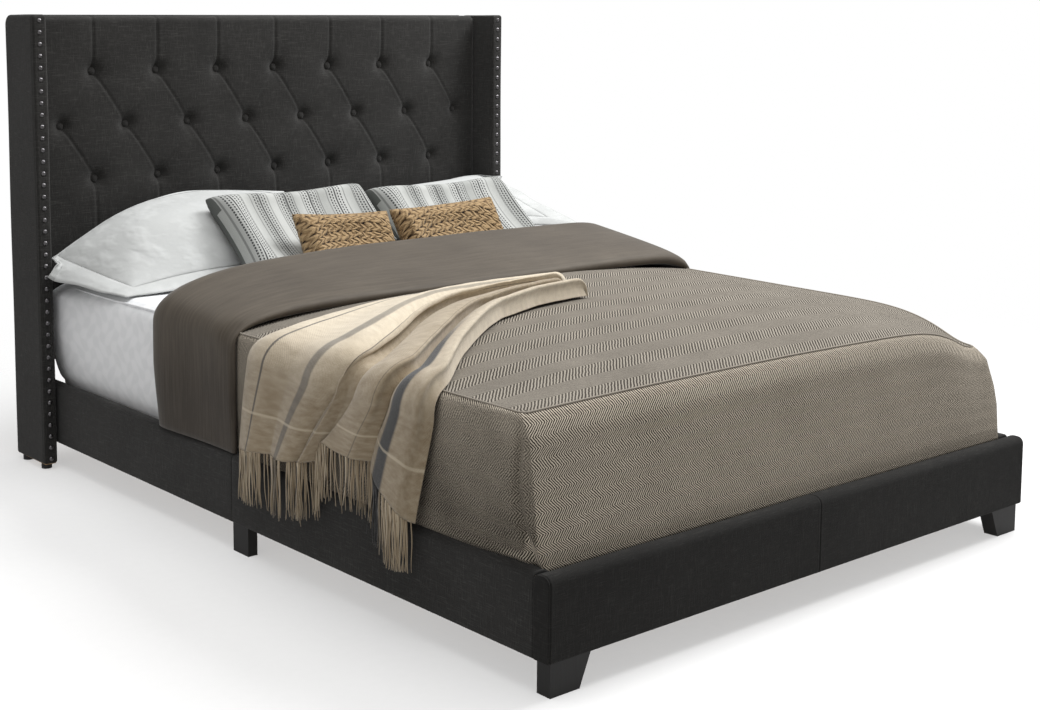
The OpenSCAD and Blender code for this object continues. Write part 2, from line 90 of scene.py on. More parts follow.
def make_world(strength):
    """Surroundings that light the bed with that strength and look white behind it."""
    world = bpy.data.worlds.new("studio")
    world.use_nodes = True
    tree = world.node_tree
    lit, seen = tree.nodes["Background"], tree.nodes.new("ShaderNodeBackground")
    lit.inputs["Color"].default_value = (1.0, 0.985, 0.97, 1)
    lit.inputs["Strength"].default_value = strength
    seen.inputs["Color"].default_value = (1, 1, 1, 1)
    ray, mix = tree.nodes.new("ShaderNodeLightPath"), tree.nodes.new("ShaderNodeMixShader")
    tree.links.new(ray.outputs["Is Camera Ray"], mix.inputs[0])
    tree.links.new(lit.outputs[0], mix.inputs[1])
    tree.links.new(seen.outputs[0], mix.inputs[2])
    tree.links.new(mix.outputs[0], tree.nodes["World Output"].inputs[0])
    bpy.context.scene.world = world


bpy.context.scene.view_settings.view_transform = "Standard"
make_world(0.40)
soft_light("key", (3.0, -0.9, 4.6), (0, -0.1, 0.4), 2.4, 275)
soft_light("over", (-0.6, -0.2, 4.4), (0, 0, 0.5), 3.2, 95)
soft_light("left", (-5.4, -2.0, 2.2), (-0.4, 0.2, 0.6), 2.4, 14)
print("three soft lights and a white room are set")


# %% [markdown]
# ## Shader maths as plain expressions
# A material's pattern is arithmetic on a place, so a small class wraps a socket and lets
# Python's own operators add the Math nodes. Colours go through Mix nodes, and any other node
# comes from one method that takes its type, its settings and the values of its sockets.

# %% Shader helpers
class Value:
    """One number that varies over a surface: an output socket with Python's operators."""

    def __init__(self, finish, socket):
        self.finish, self.socket = finish, socket

    def math(self, operation, *others):
        values = {i: v for i, v in enumerate((self,) + others)}
        return self.finish.node("ShaderNodeMath", {"operation": operation}, values)

    def __add__(self, other): return self.math("ADD", other)
    def __radd__(self, other): return self.math("ADD", other)
    def __sub__(self, other): return self.math("SUBTRACT", other)
    def __rsub__(self, other): return (self * -1) + other
    def __mul__(self, other): return self.math("MULTIPLY", other)
    def __rmul__(self, other): return self.math("MULTIPLY", other)
    def __truediv__(self, other): return self.math("DIVIDE", other)
    def __pow__(self, other): return self.math("POWER", other)
    def __abs__(self): return self.math("ABSOLUTE")
    def fract(self): return self.math("FRACT")
    def floor(self): return self.math("FLOOR")
    def sin(self): return self.math("SINE")
    def max(self, other): return self.math("MAXIMUM", other)

    def between(self, low, high):
        """0 below low, 1 above high and smooth between them."""
        settings = {"interpolation_type": "SMOOTHSTEP"}
        return self.finish.node("ShaderNodeMapRange", settings, {0: self, 1: low, 2: high})


class Finish:
    """One material, with its shader's fixed numbers; node() adds any node to it."""

    def __init__(self, name, **fixed):
        self.material = bpy.data.materials.new(name)
        self.material.use_nodes = True
        self.tree = self.material.node_tree
        self.shader = self.tree.nodes["Principled BSDF"]
        for socket, value in fixed.items():
            self.shader.inputs[socket.replace("_", " ")].default_value = value

    def node(self, kind, settings=None, values=None, out=0):
        """Adds a node, sets its settings, then its sockets to numbers, colours or links."""
        node = self.tree.nodes.new(kind)
        for key, value in (settings or {}).items():
            setattr(node, key, value)
        for key, value in (values or {}).items():
            self.put(node.inputs[key], value)
        return Value(self, node.outputs[out])

    def put(self, socket, value):
        if isinstance(value, Value):
            self.tree.links.new(value.socket, socket)
        elif isinstance(value, tuple) and len(value) == 3 and socket.type == "RGBA":
            socket.default_value = value + (1,)
        else:
            socket.default_value = value

    def place(self, scale=(1, 1, 1)):
        """The point in the bed's frame, with each axis scaled."""
        point = self.node("ShaderNodeTexCoord", out="Object")
        return self.node("ShaderNodeMapping", {}, {"Vector": point, "Scale": scale})

    def cloth(self, scale=(1, 1, 1)):
        """The point on the flat cloth, in metres, from the piece's own UV map."""
        point = self.node("ShaderNodeUVMap", {"uv_map": "cloth"})
        return self.node("ShaderNodeMapping", {}, {"Vector": point, "Scale": scale})

    def split(self, vector):
        """The vector's X, Y and Z as three values."""
        node = self.tree.nodes.new("ShaderNodeSeparateXYZ")
        self.put(node.inputs[0], vector)
        return [Value(self, socket) for socket in node.outputs]

    def noise(self, vector, scale, detail=2.0, rough=0.5):
        """Soft random values from 0 to 1, mostly near 0.5."""
        return self.node("ShaderNodeTexNoise", {},
                         {"Vector": vector, "Scale": scale, "Detail": detail, "Roughness": rough})

    def mix(self, factor, low, high):
        """Colour low where factor is 0 and colour high where it is 1."""
        return self.node("ShaderNodeMix", {"data_type": "RGBA", "clamp_factor": True},
                         {0: factor, 6: low, 7: high}, out=2)

    def finish(self, colour=None, rough=None, height=None, depth=1.0, strength=1.0, alpha=None):
        """Wires the pattern to the shader; height is in units of depth metres."""
        for socket, value in (("Base Color", colour), ("Roughness", rough), ("Alpha", alpha)):
            if value is not None:
                self.put(self.shader.inputs[socket], value)
        if height is not None:
            bump = self.node("ShaderNodeBump", {},
                             {"Strength": strength, "Distance": depth, "Height": height})
            self.put(self.shader.inputs["Normal"], bump)
        return self.material


def tone(red, green, blue):
    """Linear colour from screen values of 0 to 255."""
    return tuple((c / 255) ** 2.2 for c in (red, green, blue))


# %% [markdown]
# ## Surfaces from numbers
# Every new piece is a grid of points worked out in one go with numpy.
# One function turns any such grid into a mesh, with the flat cloth's place kept as a UV map.

# %% Grid to mesh
def mesh_piece(name, points, wrap=(False, False), cloth=None, finish=None):
    """Mesh of a (rows, columns, 3) grid; wrap closes it over rows or columns.

    Face (i, j) joins points (i, j), (i+1, j), (i+1, j+1) and (i, j+1), so its normal is
    the row direction crossed with the column direction. cloth has one more row or column
    than points where the grid wraps.
    """
    rows, columns = points.shape[:2]
    i, j = np.meshgrid(np.arange(rows - (not wrap[0])), np.arange(columns - (not wrap[1])), indexing="ij")
    ring = [(i, j), (i + 1, j), (i + 1, j + 1), (i, j + 1)]
    corners = np.stack([(a % rows) * columns + b % columns for a, b in ring], -1).reshape(-1, 4)
    mesh = bpy.data.meshes.new(name)
    mesh.from_pydata(points.reshape(-1, 3), [], corners)
    if cloth is not None:
        layer = mesh.uv_layers.new(name="cloth")
        width = cloth.shape[1]
        index = np.stack([a * width + b for a, b in ring], -1).reshape(-1)
        layer.data.foreach_set("uv", cloth.reshape(-1, 2)[index].ravel().astype(np.float32))
    mesh.polygons.foreach_set("use_smooth", np.ones(len(mesh.polygons), bool))
    piece = bpy.data.objects.new(name, mesh)
    bpy.context.collection.objects.link(piece)
    if finish:
        mesh.materials.append(finish)
    return piece


def weld(piece, distance=1e-5):
    """Merges points that meet, such as those of a seam or a pole, and turns the faces outwards."""
    work = bmesh.new()
    work.from_mesh(piece.data)
    bmesh.ops.remove_doubles(work, verts=work.verts, dist=distance)
    bmesh.ops.dissolve_degenerate(work, edges=work.edges, dist=distance / 2)
    bmesh.ops.recalc_face_normals(work, faces=work.faces)
    work.to_mesh(piece.data)
    work.free()
    return piece


def waves(points, size, seed, parts=5):
    """Smooth random unevenness from about -1 to 1: a few sine waves that cross each other."""
    random = np.random.default_rng(seed)
    total = 0
    for _ in range(parts):
        turn = random.normal(size=3)
        turn *= random.uniform(0.6, 1.5) / np.linalg.norm(turn)
        total = total + np.sin(points @ turn * 2 * math.pi / size + random.uniform(0, 2 * math.pi))
    return total / parts * 1.4


def bell(distance, width):
    """1 at no distance, falling smoothly to 0 past about twice the width."""
    return np.exp(-(distance / width) ** 2)


def stations(low, high, step, marks=(), reach=0.012, fine=0.0012):
    """Places from low to high a step apart, close together round each mark."""
    places = [np.linspace(low, high, max(2, round((high - low) / step) + 1))]
    for mark in marks:
        places.append(np.arange(mark - reach, mark + reach, fine))
    places = np.unique(np.concatenate(places).clip(low, high))
    keep = np.diff(places, prepend=places[0] - 1) > fine / 3
    return places[keep]


# %% [markdown]
# ## The charcoal cloth
# The headboard, wings, rails and footboard wear one cloth: a linen weave with uneven threads; the
# footboard's copy is darker, as painted shade.
# A plain grey would look like card, so streaks run across and along it: long thin noise for
# the slubs, finer noise for the weave, and a bump from both. It reads the bed's own frame,
# stretched along X and Y for one set of threads and along Z for the other.

# %% Charcoal linen
def linen(name, dark, light, sheen=0.25):
    """Uneven cross-woven cloth: two sets of streaks over a base, from dark to light."""
    cloth = Finish(name, Sheen_Weight=sheen, Sheen_Roughness=0.5, Specular_IOR_Level=0.25)
    upright = cloth.noise(cloth.place((520, 520, 34)), 1.0, 3.0, 0.6)
    level = cloth.noise(cloth.place((30, 30, 560)), 1.0, 3.0, 0.6)
    weave = cloth.noise(cloth.place((900, 900, 900)), 1.0, 2.0, 0.7)
    wear = cloth.noise(cloth.place(), 5.0, 3.0, 0.6)
    slubs = (upright.between(0.5, 0.8) + level.between(0.5, 0.78)) * 0.5
    amount = slubs * 0.7 + weave * 0.5 + wear * 0.25 - 0.2
    colour = cloth.mix(amount, dark, light)
    return cloth.finish(colour, rough=0.86 + 0.1 * weave, height=upright + level + weave,
                        depth=0.0009, strength=0.45)


CHARCOAL = linen("charcoal_linen", tone(20, 19, 18), tone(80, 79, 77), 0.12)
# The footboard's copy of the linen is darker all over: painted shade on its front face.
CHARCOAL_SHADED_FOOT = linen("charcoal_linen_shaded_foot", tone(13, 12, 11), tone(62, 61, 59), 0.06)
print("made", CHARCOAL.name)


# %% [markdown]
# ## Padded slabs
# A wing, a rail or a footboard is a board wrapped in wadding and cloth. In a modelling program
# it could be a bevelled box; here it is a rounded outline carried along one axis, drawn in at
# both ends by a quarter circle, so that every edge is soft and the seams can be pressed in.

# %% Rounded outline
def outline(low, high, radii, step):
    """Points, outward directions and corner reach of a rectangle with four round corners.

    Each corner is an arc about its own centre; a straight stretch keeps its end's direction.
    Returns centres of the arcs, radii and unit directions, so that centre + direction * (radius
    - inset) is the outline drawn in by inset.
    """
    (u0, v0), (u1, v1) = low, high
    corners = [(u0, v0, 180), (u1, v0, 270), (u1, v1, 0), (u0, v1, 90)]
    centres, reach, directions = [], [], []
    for k, (u, v, start) in enumerate(corners):
        radius = radii[k]
        middle = np.array([u + radius * (1 if u == u0 else -1), v + radius * (1 if v == v0 else -1)])
        turn = np.radians(np.linspace(start, start + 90, max(4, round(radius * 1.6 / step) + 4)))
        centres.append(np.repeat(middle[None], len(turn), 0))
        reach.append(np.full(len(turn), radius))
        directions.append(np.stack([np.cos(turn), np.sin(turn)], -1))
        u2, v2, _ = corners[(k + 1) % 4]
        after = radii[(k + 1) % 4]
        to = np.array([u2 + after * (1 if u2 == u0 else -1), v2 + after * (1 if v2 == v0 else -1)])
        count = max(2, round(np.linalg.norm(to - middle) / step))
        part = np.linspace(0, 1, count + 1)[1:-1, None]
        centres.append(middle * (1 - part) + to * part)
        reach.append((radius * (1 - part) + after * part)[:, 0])
        directions.append(np.repeat(directions[-1][-1:], len(part), 0))
    return np.concatenate(centres), np.concatenate(reach), np.concatenate(directions)


def slab(name, axis, span, low, high, radii, edge, step, finish, shape=None, marks=()):
    """Soft-edged slab: a rounded outline across two axes, carried along the third.

    span is its two ends along axis. Within edge of an end the outline is drawn in by a quarter
    circle; the end itself is closed by rings that shrink to the outline's middle line. shape
    takes the points and their outward directions and returns them moved.
    """
    centres, reach, directions = outline(low, high, radii, step)
    middle = (np.array(low) + np.array(high)) / 2
    half = (np.array(high) - np.array(low)) / 2
    slack = np.maximum(half - half.min(), 0)
    spine = np.clip(centres, middle - slack, middle + slack)
    start, end = span
    rings, normals = [], []

    def ring(place, inset, shrink, lean):
        flat = centres + directions * (reach - inset)[:, None]
        flat = flat * (1 - shrink) + spine * shrink
        point = np.insert(flat, axis, place, axis=1)
        normal = np.insert(directions * math.cos(lean), axis, math.sin(lean), axis=1)
        rings.append(point)
        normals.append(normal)

    bend = np.linspace(0, math.pi / 2, 6)
    fill = np.linspace(1, 0, max(3, round(half.min() / step)) + 1)[:-1]
    for shrink in fill:
        ring(start, edge, shrink, -math.pi / 2)
    for a in bend[::-1]:
        ring(start + edge * (1 - math.sin(a)), edge * (1 - math.cos(a)), 0, -a)
    for place in stations(start + edge, end - edge, step, marks)[1:-1]:
        ring(place, 0, 0, 0)
    for a in bend:
        ring(end - edge * (1 - math.sin(a)), edge * (1 - math.cos(a)), 0, a)
    for shrink in fill[::-1]:
        ring(end, edge, shrink, math.pi / 2)
    points, outward = np.array(rings), np.array(normals)
    if shape is not None:
        points = shape(points, outward)
    return weld(mesh_piece(name, points, wrap=(False, True), finish=finish))


# %% [markdown]
# ## Wings
# Each wing is a tall padded slab beside the mattress. Its front edge carries a row of nailheads
# that pull the cloth in a little, and the cloth is seamed where the front edge meets the sides.

# %% Wings
NAILS, NAIL_RADIUS = 39, 6.5 * MM


def node_range(node, axis):
    """Lowest and highest place of a CAD node along one axis."""
    low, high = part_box(node)
    return low[axis], high[axis]


def dress(piece, body, slot, *nodes, fill=None):
    """The piece rides on the body and stands for the CAD nodes, which it hides; slot is not used."""
    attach(piece, body)
    if nodes:
        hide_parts(*nodes)
    return piece


def make_wing(side):
    """Padded slab where the CAD cover is, dented round each nail and creased at its seams."""
    low, high = (np.array(c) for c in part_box(f"wing_cover_{side}"))
    nail_low, nail_high = node_range(f"wing_nails_{side}", 2)
    pitch = (nail_high - nail_low - 2 * NAIL_RADIUS) / (NAILS - 1)

    def shape(points, outward):
        y, z = points[..., 1], points[..., 2]
        front = bell(y - low[1], 10 * MM)
        nail = (z - nail_low - NAIL_RADIUS) / pitch
        dent = front * bell((nail - np.round(nail)) * pitch, 9 * MM) * bell(
            points[..., 0] - (low[0] + high[0]) / 2, 11 * MM)
        seam = bell(y - low[1] - 7 * MM, 2.2 * MM) * np.abs(outward[..., 0])
        soft = waves(points, 0.32, 3 if side == "left" else 4) * 0.9 * MM
        return points + outward * (soft - 1.4 * MM * dent - 1.6 * MM * seam)[..., None]

    wing = slab(f"wing_{side}", 0, (low[0], high[0]), low[1:], high[1:],
                [9 * MM, 9 * MM, 30 * MM, 9 * MM], 8 * MM, 5.2 * MM, CHARCOAL, shape)
    return dress(wing, "bed_frame", "charcoal_linen", f"wing_cover_{side}", fill=0.9)


for side in ("left", "right"):
    print(make_wing(side).name, "stands for the CAD cover")


# %% [markdown]
# ## Rails and footboard
# The side rails come in two halves that meet at the middle leg, and the footboard's cloth is
# pieced at its ends and its middle. A seam is a narrow groove with the padding rising beside it.

# %% Rails
RAIL_CORNERS = [4 * MM, 4 * MM, 17 * MM, 17 * MM]      # two sharp ones below, two soft above


def seam_groove(distance, depth=2.4 * MM, width=1.7 * MM):
    """How far a seam pulls the cloth in, with a slight swell beside it."""
    return depth * bell(distance, width) - 0.5 * MM * bell(distance, 9 * MM)


def make_rail(side, half, seed):
    """Half a side rail, with a rounded, padded top and soft ends."""
    low, high = (np.array(c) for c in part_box(f"rail_cover_{side}_{half}"))

    def shape(points, outward):
        soft = waves(points, 0.42, seed) * 1.2 * MM * (points[..., 2] > low[2] + 4 * MM)
        return points + outward * soft[..., None]

    rail = slab(f"rail_{side}_{half}", 1, (low[1], high[1]), low[[0, 2]], high[[0, 2]],
                RAIL_CORNERS, 3 * MM, 12 * MM, CHARCOAL, shape)
    return dress(rail, "bed_frame", "charcoal_linen", f"rail_cover_{side}_{half}", fill=0.9)


def make_footboard():
    """The footboard, with a seam round each end panel and one at its middle."""
    low, high = (np.array(c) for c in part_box("footboard_cover"))
    ends = (low[0] + 3.5 * MM, high[0] - 3.5 * MM)
    seams = ((ends[0], 2.0 * MM), (ends[1], 2.0 * MM), (0.0, 1.8 * MM))

    def shape(points, outward):
        x = points[..., 0]
        pull = sum(seam_groove(x - place, depth) for place, depth in seams)
        pull = pull * (1 - np.abs(outward[..., 0]))
        soft = waves(points, 0.5, 11) * 1.2 * MM * (points[..., 2] > low[2] + 4 * MM)
        return points + outward * (soft - pull)[..., None]

    # Painted shade: the footboard wears the darker copy of the linen.
    board = slab("footboard", 0, (low[0], high[0]), low[1:], high[1:],
                 RAIL_CORNERS, 2.5 * MM, 12 * MM, CHARCOAL_SHADED_FOOT, shape,
                 marks=(ends[0], 0.0, ends[1]))
    return dress(board, "bed_frame", "charcoal_linen", "footboard_cover", fill=0.9)


for seed, (side, half) in enumerate([(s, h) for s in ("left", "right") for h in ("head", "foot")]):
    make_rail(side, half, 20 + seed)
print(make_footboard().name, "and four rail halves are dressed")


# %% [markdown]
# ## The tufted panel
# Twenty-two covered buttons are pulled into the foam. Each makes a dimple, and the spare cloth
# between them folds into pleats: upright ones from the top row over the edge and from the lowest
# row down, and slanting ones from row to row. All of it is one depth that depends on the place
# on the flat panel, so the panel is one grid pushed in by that depth.

# %% Button places
PITCH, ROW_STEP, TOP_ROW, TOP_COUNT = 0.2104, 0.1565, 0.163, 7
panel_low, panel_high = (np.array(c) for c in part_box("headboard_cover"))


def button_row(row):
    """Places across the panel of a row's buttons; every second row has one more."""
    count = TOP_COUNT + row % 2
    return (np.arange(count) - (count - 1) / 2) * PITCH


ROWS = [(panel_high[2] - TOP_ROW - row * ROW_STEP, button_row(row)) for row in range(3)]
print("rows of buttons at", [round(float(z), 3) for z, _ in ROWS])


# %% Depth of the tufting
def along_line(x, z, start, end):
    """Distance from a line between two buttons, and how far along it the nearest point is."""
    way = np.array(end) - np.array(start)
    length = np.linalg.norm(way)
    part = (((x - start[0]) * way[0] + (z - start[1]) * way[1]) / length ** 2).clip(0, 1)
    side = ((x - start[0]) * way[1] - (z - start[1]) * way[0]) / length
    off = np.hypot(x - start[0] - part * way[0], z - start[1] - part * way[1])
    return off, part, side


def fold(off, side, width):
    """Depth of a pleat: a narrow groove with one lip that laps over it."""
    lip = bell(side - 2.2 * width, 1.8 * width) * bell(off - np.abs(side), width)
    return bell(off, width) - 0.25 * lip


def tuft_depth(x, z):
    """How deep each place on the panel is pushed in, in metres."""
    depth = 1.6 * MM * waves(np.stack([x, x * 0, z], -1), 0.5, 31, 4)
    for row, (row_z, places) in enumerate(ROWS):
        for place in places:
            r = np.hypot(x - place, z - row_z)
            depth += 15 * MM * bell(r, 19 * MM) + 6.5 * MM * bell(r, 46 * MM)
        if row == 2:
            continue
        below_z, below = ROWS[row + 1]
        for place in places:
            for lean, amount in ((1, 4.6), (-1, 0.7)):
                for other in below[np.abs(below - place - lean * PITCH / 2) < 0.01]:
                    off, part, side = along_line(x, z, (place, row_z), (other, below_z))
                    depth += amount * MM * fold(off, side, 3.4 * MM) * (0.25 + 0.75 * (1 - part) ** 0.7)
                    depth += 1.0 * MM * bell(off, 26 * MM)
    for place in ROWS[0][1]:
        off, part, side = along_line(x, z, (place, ROWS[0][0]), (place, panel_high[2] + 0.08))
        depth += 3.6 * MM * fold(off, side, 4.0 * MM) + 1.8 * MM * bell(off, 28 * MM)
    for place in ROWS[2][1]:
        off, part, side = along_line(x, z, (place, ROWS[2][0]), (place, panel_low[2]))
        depth += (3.4 * MM * fold(off, side, 4.6 * MM) + 1.2 * MM * bell(off, 28 * MM)) * (1 - 0.5 * part)
    return depth


# %% Tufted panel
def make_panel():
    """The panel's cloth: up the front, over a rounded top edge and down behind it.

    The profile is the front plane, a quarter arc of radius `turn`, the flat top and a second
    small arc; the tufting's depth is taken off along the profile's outward direction.
    """
    turn, lap, proud = 20 * MM, 6 * MM, 8 * MM
    front, back = panel_low[1] - proud, panel_high[1] + 1 * MM
    low_z, top = panel_low[2], panel_high[2] - 1.5 * MM
    x = np.linspace(panel_low[0], panel_high[0], 401)
    rise = np.arange(low_z, top - turn, 4.2 * MM)
    arc = np.linspace(0, math.pi / 2, 9)
    flat = np.linspace(front + turn, back - lap, 10)[1:]
    arc2 = np.linspace(0, math.pi / 2, 5)[1:]
    place_y = np.concatenate([np.full(len(rise), front), front + turn * (1 - np.cos(arc)), flat,
                              back - lap + lap * np.sin(arc2), [back, back]])
    place_z = np.concatenate([rise, top - turn + turn * np.sin(arc), np.full(len(flat), top),
                              top - lap + lap * np.cos(arc2), [top - 20 * MM, top - 34 * MM]])
    out_y = np.concatenate([np.full(len(rise), -1.0), -np.cos(arc), flat * 0, np.sin(arc2), [1, 1]])
    out_z = np.concatenate([rise * 0, np.sin(arc), flat * 0 + 1, np.cos(arc2), [0, 0]])
    travel = np.concatenate([[0], np.cumsum(np.hypot(np.diff(place_y), np.diff(place_z)))]) + low_z
    gx, gs = np.meshgrid(x, travel, indexing="ij")
    depth = tuft_depth(gx, gs)
    edge = np.minimum(gx - x[0], x[-1] - gx)
    depth = depth + 7 * MM * bell(edge, 9 * MM) + 4 * MM * bell(gs - low_z, 12 * MM)
    shallow = np.where(place_y > front + turn * 0.9, 0.8 * MM, 1)      # the timber lies close under the top
    depth = np.minimum(depth, shallow[None])
    points = np.stack([gx, place_y[None] - out_y[None] * depth, place_z[None] - out_z[None] * depth], -1)
    panel = mesh_piece("tufted_panel", points, finish=CHARCOAL)
    shell = panel.modifiers.new("cloth_thickness", "SOLIDIFY")
    shell.thickness, shell.offset = 3 * MM, -1
    return dress(panel, "bed_frame", "charcoal_linen", "headboard_cover", "headboard_foam", fill=0.7)


print(make_panel().name, "covers the foam")


# %% [markdown]
# ## Wood, metal and the inside of the bed
# Everything that holds the bed up keeps its CAD shape and only gets a finish. Wood is long thin
# noise along its grain, so one function takes the grain's direction; metal is a fine speckle
# in the roughness; foam, tape and cord are small noises of their own.

# %% Hard finishes
def wood(name, dark, light, grain, rough=0.5, coat=0.0):
    """Planed wood: growth streaks along the grain axis (0, 1 or 2), with fine pores."""
    board = Finish(name, Coat_Weight=coat, Coat_Roughness=0.25)
    long = [26, 26, 26]
    long[grain] = 1.6
    fine = [420, 420, 420]
    fine[grain] = 14
    streak = board.noise(board.place(tuple(long)), 1.0, 4.0, 0.6)
    pore = board.noise(board.place(tuple(fine)), 1.0, 2.0, 0.6)
    rings = ((streak * 9).sin() * 0.5 + 0.5) * 0.55 + pore * 0.45
    return board.finish(board.mix(rings, dark, light), rough=rough + 0.15 * pore,
                        height=pore, depth=0.0006, strength=0.35)


def metal(name, base, rough, grit=900):
    """Metal with a fine uneven polish and a few darker spots."""
    plate = Finish(name, Metallic=1.0)
    fine = plate.noise(plate.place(), grit, 2.0, 0.6)
    spot = plate.noise(plate.place(), 60, 3.0, 0.6).between(0.45, 0.75)
    dark = tuple(c * 0.62 for c in base)
    return plate.finish(plate.mix(spot, base, dark), rough=rough + 0.18 * fine,
                        height=fine, depth=0.0002, strength=0.2)


def grainy(name, dark, light, size, rough=0.85, depth=0.0008, sheen=0.0):
    """Any plain soft or moulded material: two sizes of noise in the colour and the bump."""
    stuff = Finish(name, Sheen_Weight=sheen)
    fine = stuff.noise(stuff.place(), 1 / size, 3.0, 0.6)
    broad = stuff.noise(stuff.place(), 9.0, 2.0, 0.5)
    return stuff.finish(stuff.mix(fine * 0.7 + broad * 0.3, dark, light), rough=rough,
                        height=fine, depth=depth, strength=0.5)


ESPRESSO = wood("espresso_wood", tone(6, 5, 4), tone(17, 12, 10), 2, rough=0.5, coat=0.1)
TIMBER = [wood(f"timber_{axis}", tone(168, 128, 84), tone(214, 180, 132), k, 0.6)
          for k, axis in enumerate("xyz")]
PLYWOOD = wood("plywood", tone(170, 134, 92), tone(206, 172, 126), 0, 0.62)
NAIL_METAL = metal("nailhead_metal", tone(112, 110, 112), 0.24)
STEEL = metal("steel_fittings", tone(44, 44, 46), 0.45)
ZINC = metal("bolt_steel", tone(170, 172, 174), 0.3)
PLASTIC = grainy("glide_plastic", tone(16, 16, 17), tone(34, 34, 36), 0.004, 0.5, 0.0002)
DUST_CLOTH = grainy("dust_cloth", tone(20, 20, 22), tone(44, 44, 47), 0.0025, 0.95)
TAPE = grainy("strap_webbing", tone(196, 192, 182), tone(228, 225, 216), 0.002)
CORD = grainy("waxed_cord", tone(176, 166, 146), tone(214, 206, 188), 0.0015)


# %% Finishes of the CAD nodes
def coat_nodes(finish, *starts):
    """Gives the finish to every CAD node whose name begins with one of starts."""
    for name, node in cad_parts.items():
        if name.startswith(starts):
            node.data.materials.clear()
            node.data.materials.append(finish)


coat_nodes(TIMBER[2], "headboard_post", "centre_legs")
coat_nodes(TIMBER[0], "headboard_top", "headboard_bottom", "headboard_lower", "footboard_board", "slats")
coat_nodes(TIMBER[1], "rail_board", "slat_ledge", "centre_beam")
coat_nodes(PLYWOOD, "tufting_board", "wing_frame", "button_anchors")
coat_nodes(ESPRESSO, "foot_leg", "mid_leg")
coat_nodes(NAIL_METAL, "wing_nails")
coat_nodes(STEEL, "foot_brackets", "head_brackets", "beam_brackets", "rail_joiners")
coat_nodes(ZINC, "wing_bolts", "leg_bolts", "frame_bolts")
coat_nodes(PLASTIC, "wing_glides", "centre_leg_glides")
coat_nodes(DUST_CLOTH, "headboard_back_cloth")
coat_nodes(TAPE, "slat_straps")
coat_nodes(CORD, "button_ties")
coat_nodes(CHARCOAL, "tufting_buttons")
print("finished", len(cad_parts), "CAD nodes")


# %% [markdown]
# ## Mattress in its fitted sheet
# The sheet is pulled tight round the mattress, so the pair is one soft slab: its sides swell a
# little above the rails, a cord of piping runs round the top edge and a few slack folds fall
# from it near the headboard.

# %% White sheet
def jacquard(name, dark, light):
    """White cotton with a faint woven figure: two crossed waves under a fine weave."""
    cotton = Finish(name, Sheen_Weight=0.2, Specular_IOR_Level=0.3)
    x, y, z = cotton.split(cotton.place())
    figure = ((y * 95 + (z * 60).sin()).sin() * (z * 95 + (y * 60 + x * 60).sin()).sin()).between(-0.5, 0.5)
    weave = cotton.noise(cotton.place(), 700, 2.0, 0.6)
    colour = cotton.mix(figure * 0.5 + weave * 0.5, dark, light)
    return cotton.finish(colour, rough=0.8, height=figure + weave, depth=0.0006, strength=0.35)


SHEET_WHITE = jacquard("white_sheet", tone(232, 234, 236), tone(247, 248, 250))
sheet_low, sheet_high = (np.array(c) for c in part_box("fitted_sheet"))
rail_top = node_range("rail_cover_left_head", 2)[1]


def sag(points):
    """The far foot corner, under the weight of the comforter's corner."""
    near = bell(np.hypot(points[..., 0] - sheet_high[0], points[..., 1] - sheet_low[1]), 0.24)
    high = ((points[..., 2] - rail_top) / (sheet_high[2] - rail_top)).clip(0, 1)
    points[..., 2] -= 92 * MM * near * high
    points[..., 0] -= 62 * MM * near
    points[..., 1] += 30 * MM * near
    return points


def foot_share(points):
    """0 up to 0.80 m from the bed's middle, growing to 1 at the foot end of the mattress."""
    return ((-points[..., 1] - 0.80) / 0.22).clip(0, 1)


FOOT_IN, FOOT_DOWN = 42 * MM, 16 * MM    # how far the comforter presses the foot end in and down


def swell_sheet(points, outward):
    """Sides swell above the rails; slack folds run down from the top edge at the head."""
    z = points[..., 2]
    rise = ((z - rail_top) / (sheet_high[2] - rail_top)).clip(0, 1)
    side = 1 - np.abs(outward[..., 2])
    swell = 17 * MM * np.sin(rise * math.pi) ** 0.7 * side
    folds = 3.0 * MM * waves(points * np.array([1, 1, 0.25]), 0.16, 41) * rise * side
    pull = 3.0 * MM * waves(points * np.array([0.6, 1, 1.6]), 0.3, 42) * side * rise
    top = 2.5 * MM * (1 - side) * waves(points, 0.6, 43)
    foot = foot_share(points)
    points = points + outward * ((swell + folds + pull) * (1 - foot) + top)[..., None]
    points[..., 1] += FOOT_IN * foot
    points[..., 2] -= FOOT_DOWN * foot * rise
    head = 34 * MM * bell(points[..., 1] - 0.98, 0.15)
    points[..., 0] += np.sign(points[..., 0]) * head * rise ** 0.5 * side
    return sag(points)


sheet = slab("mattress_in_sheet", 2, (sheet_low[2], sheet_high[2]), sheet_low[:2], sheet_high[:2],
             [45 * MM, 45 * MM, 16 * MM, 16 * MM], 32 * MM, 16 * MM, SHEET_WHITE, swell_sheet)
dress(sheet, "mattress_set", "white_sheet", "fitted_sheet", "mattress", fill=0.95)


def tube(name, path, radius, sides, finish, closed=False):
    """Round tube along a path of points: a ring of sides points square to the path at each."""
    if closed:
        forward = np.roll(path, -1, 0) - np.roll(path, 1, 0)
    else:
        forward = np.gradient(path, axis=0)
    forward /= np.linalg.norm(forward, axis=1)[:, None]
    up = np.where(np.abs(forward[:, 2:]) > 0.8, [[1.0, 0, 0]], [[0, 0, 1.0]])
    across = np.cross(forward, up)
    across /= np.linalg.norm(across, axis=1)[:, None]
    up = np.cross(across, forward)
    turn = np.linspace(0, 2 * math.pi, sides, endpoint=False)
    ring = np.cos(turn)[None, :, None] * across[:, None] + np.sin(turn)[None, :, None] * up[:, None]
    radius = np.broadcast_to(radius, len(path))[:, None, None]
    points = path[:, None] + ring * radius
    if not closed:
        points = np.concatenate([path[None, :1].repeat(sides, 1), points, path[None, -1:].repeat(sides, 1)])
    return weld(mesh_piece(name, points, wrap=(closed, True), finish=finish))


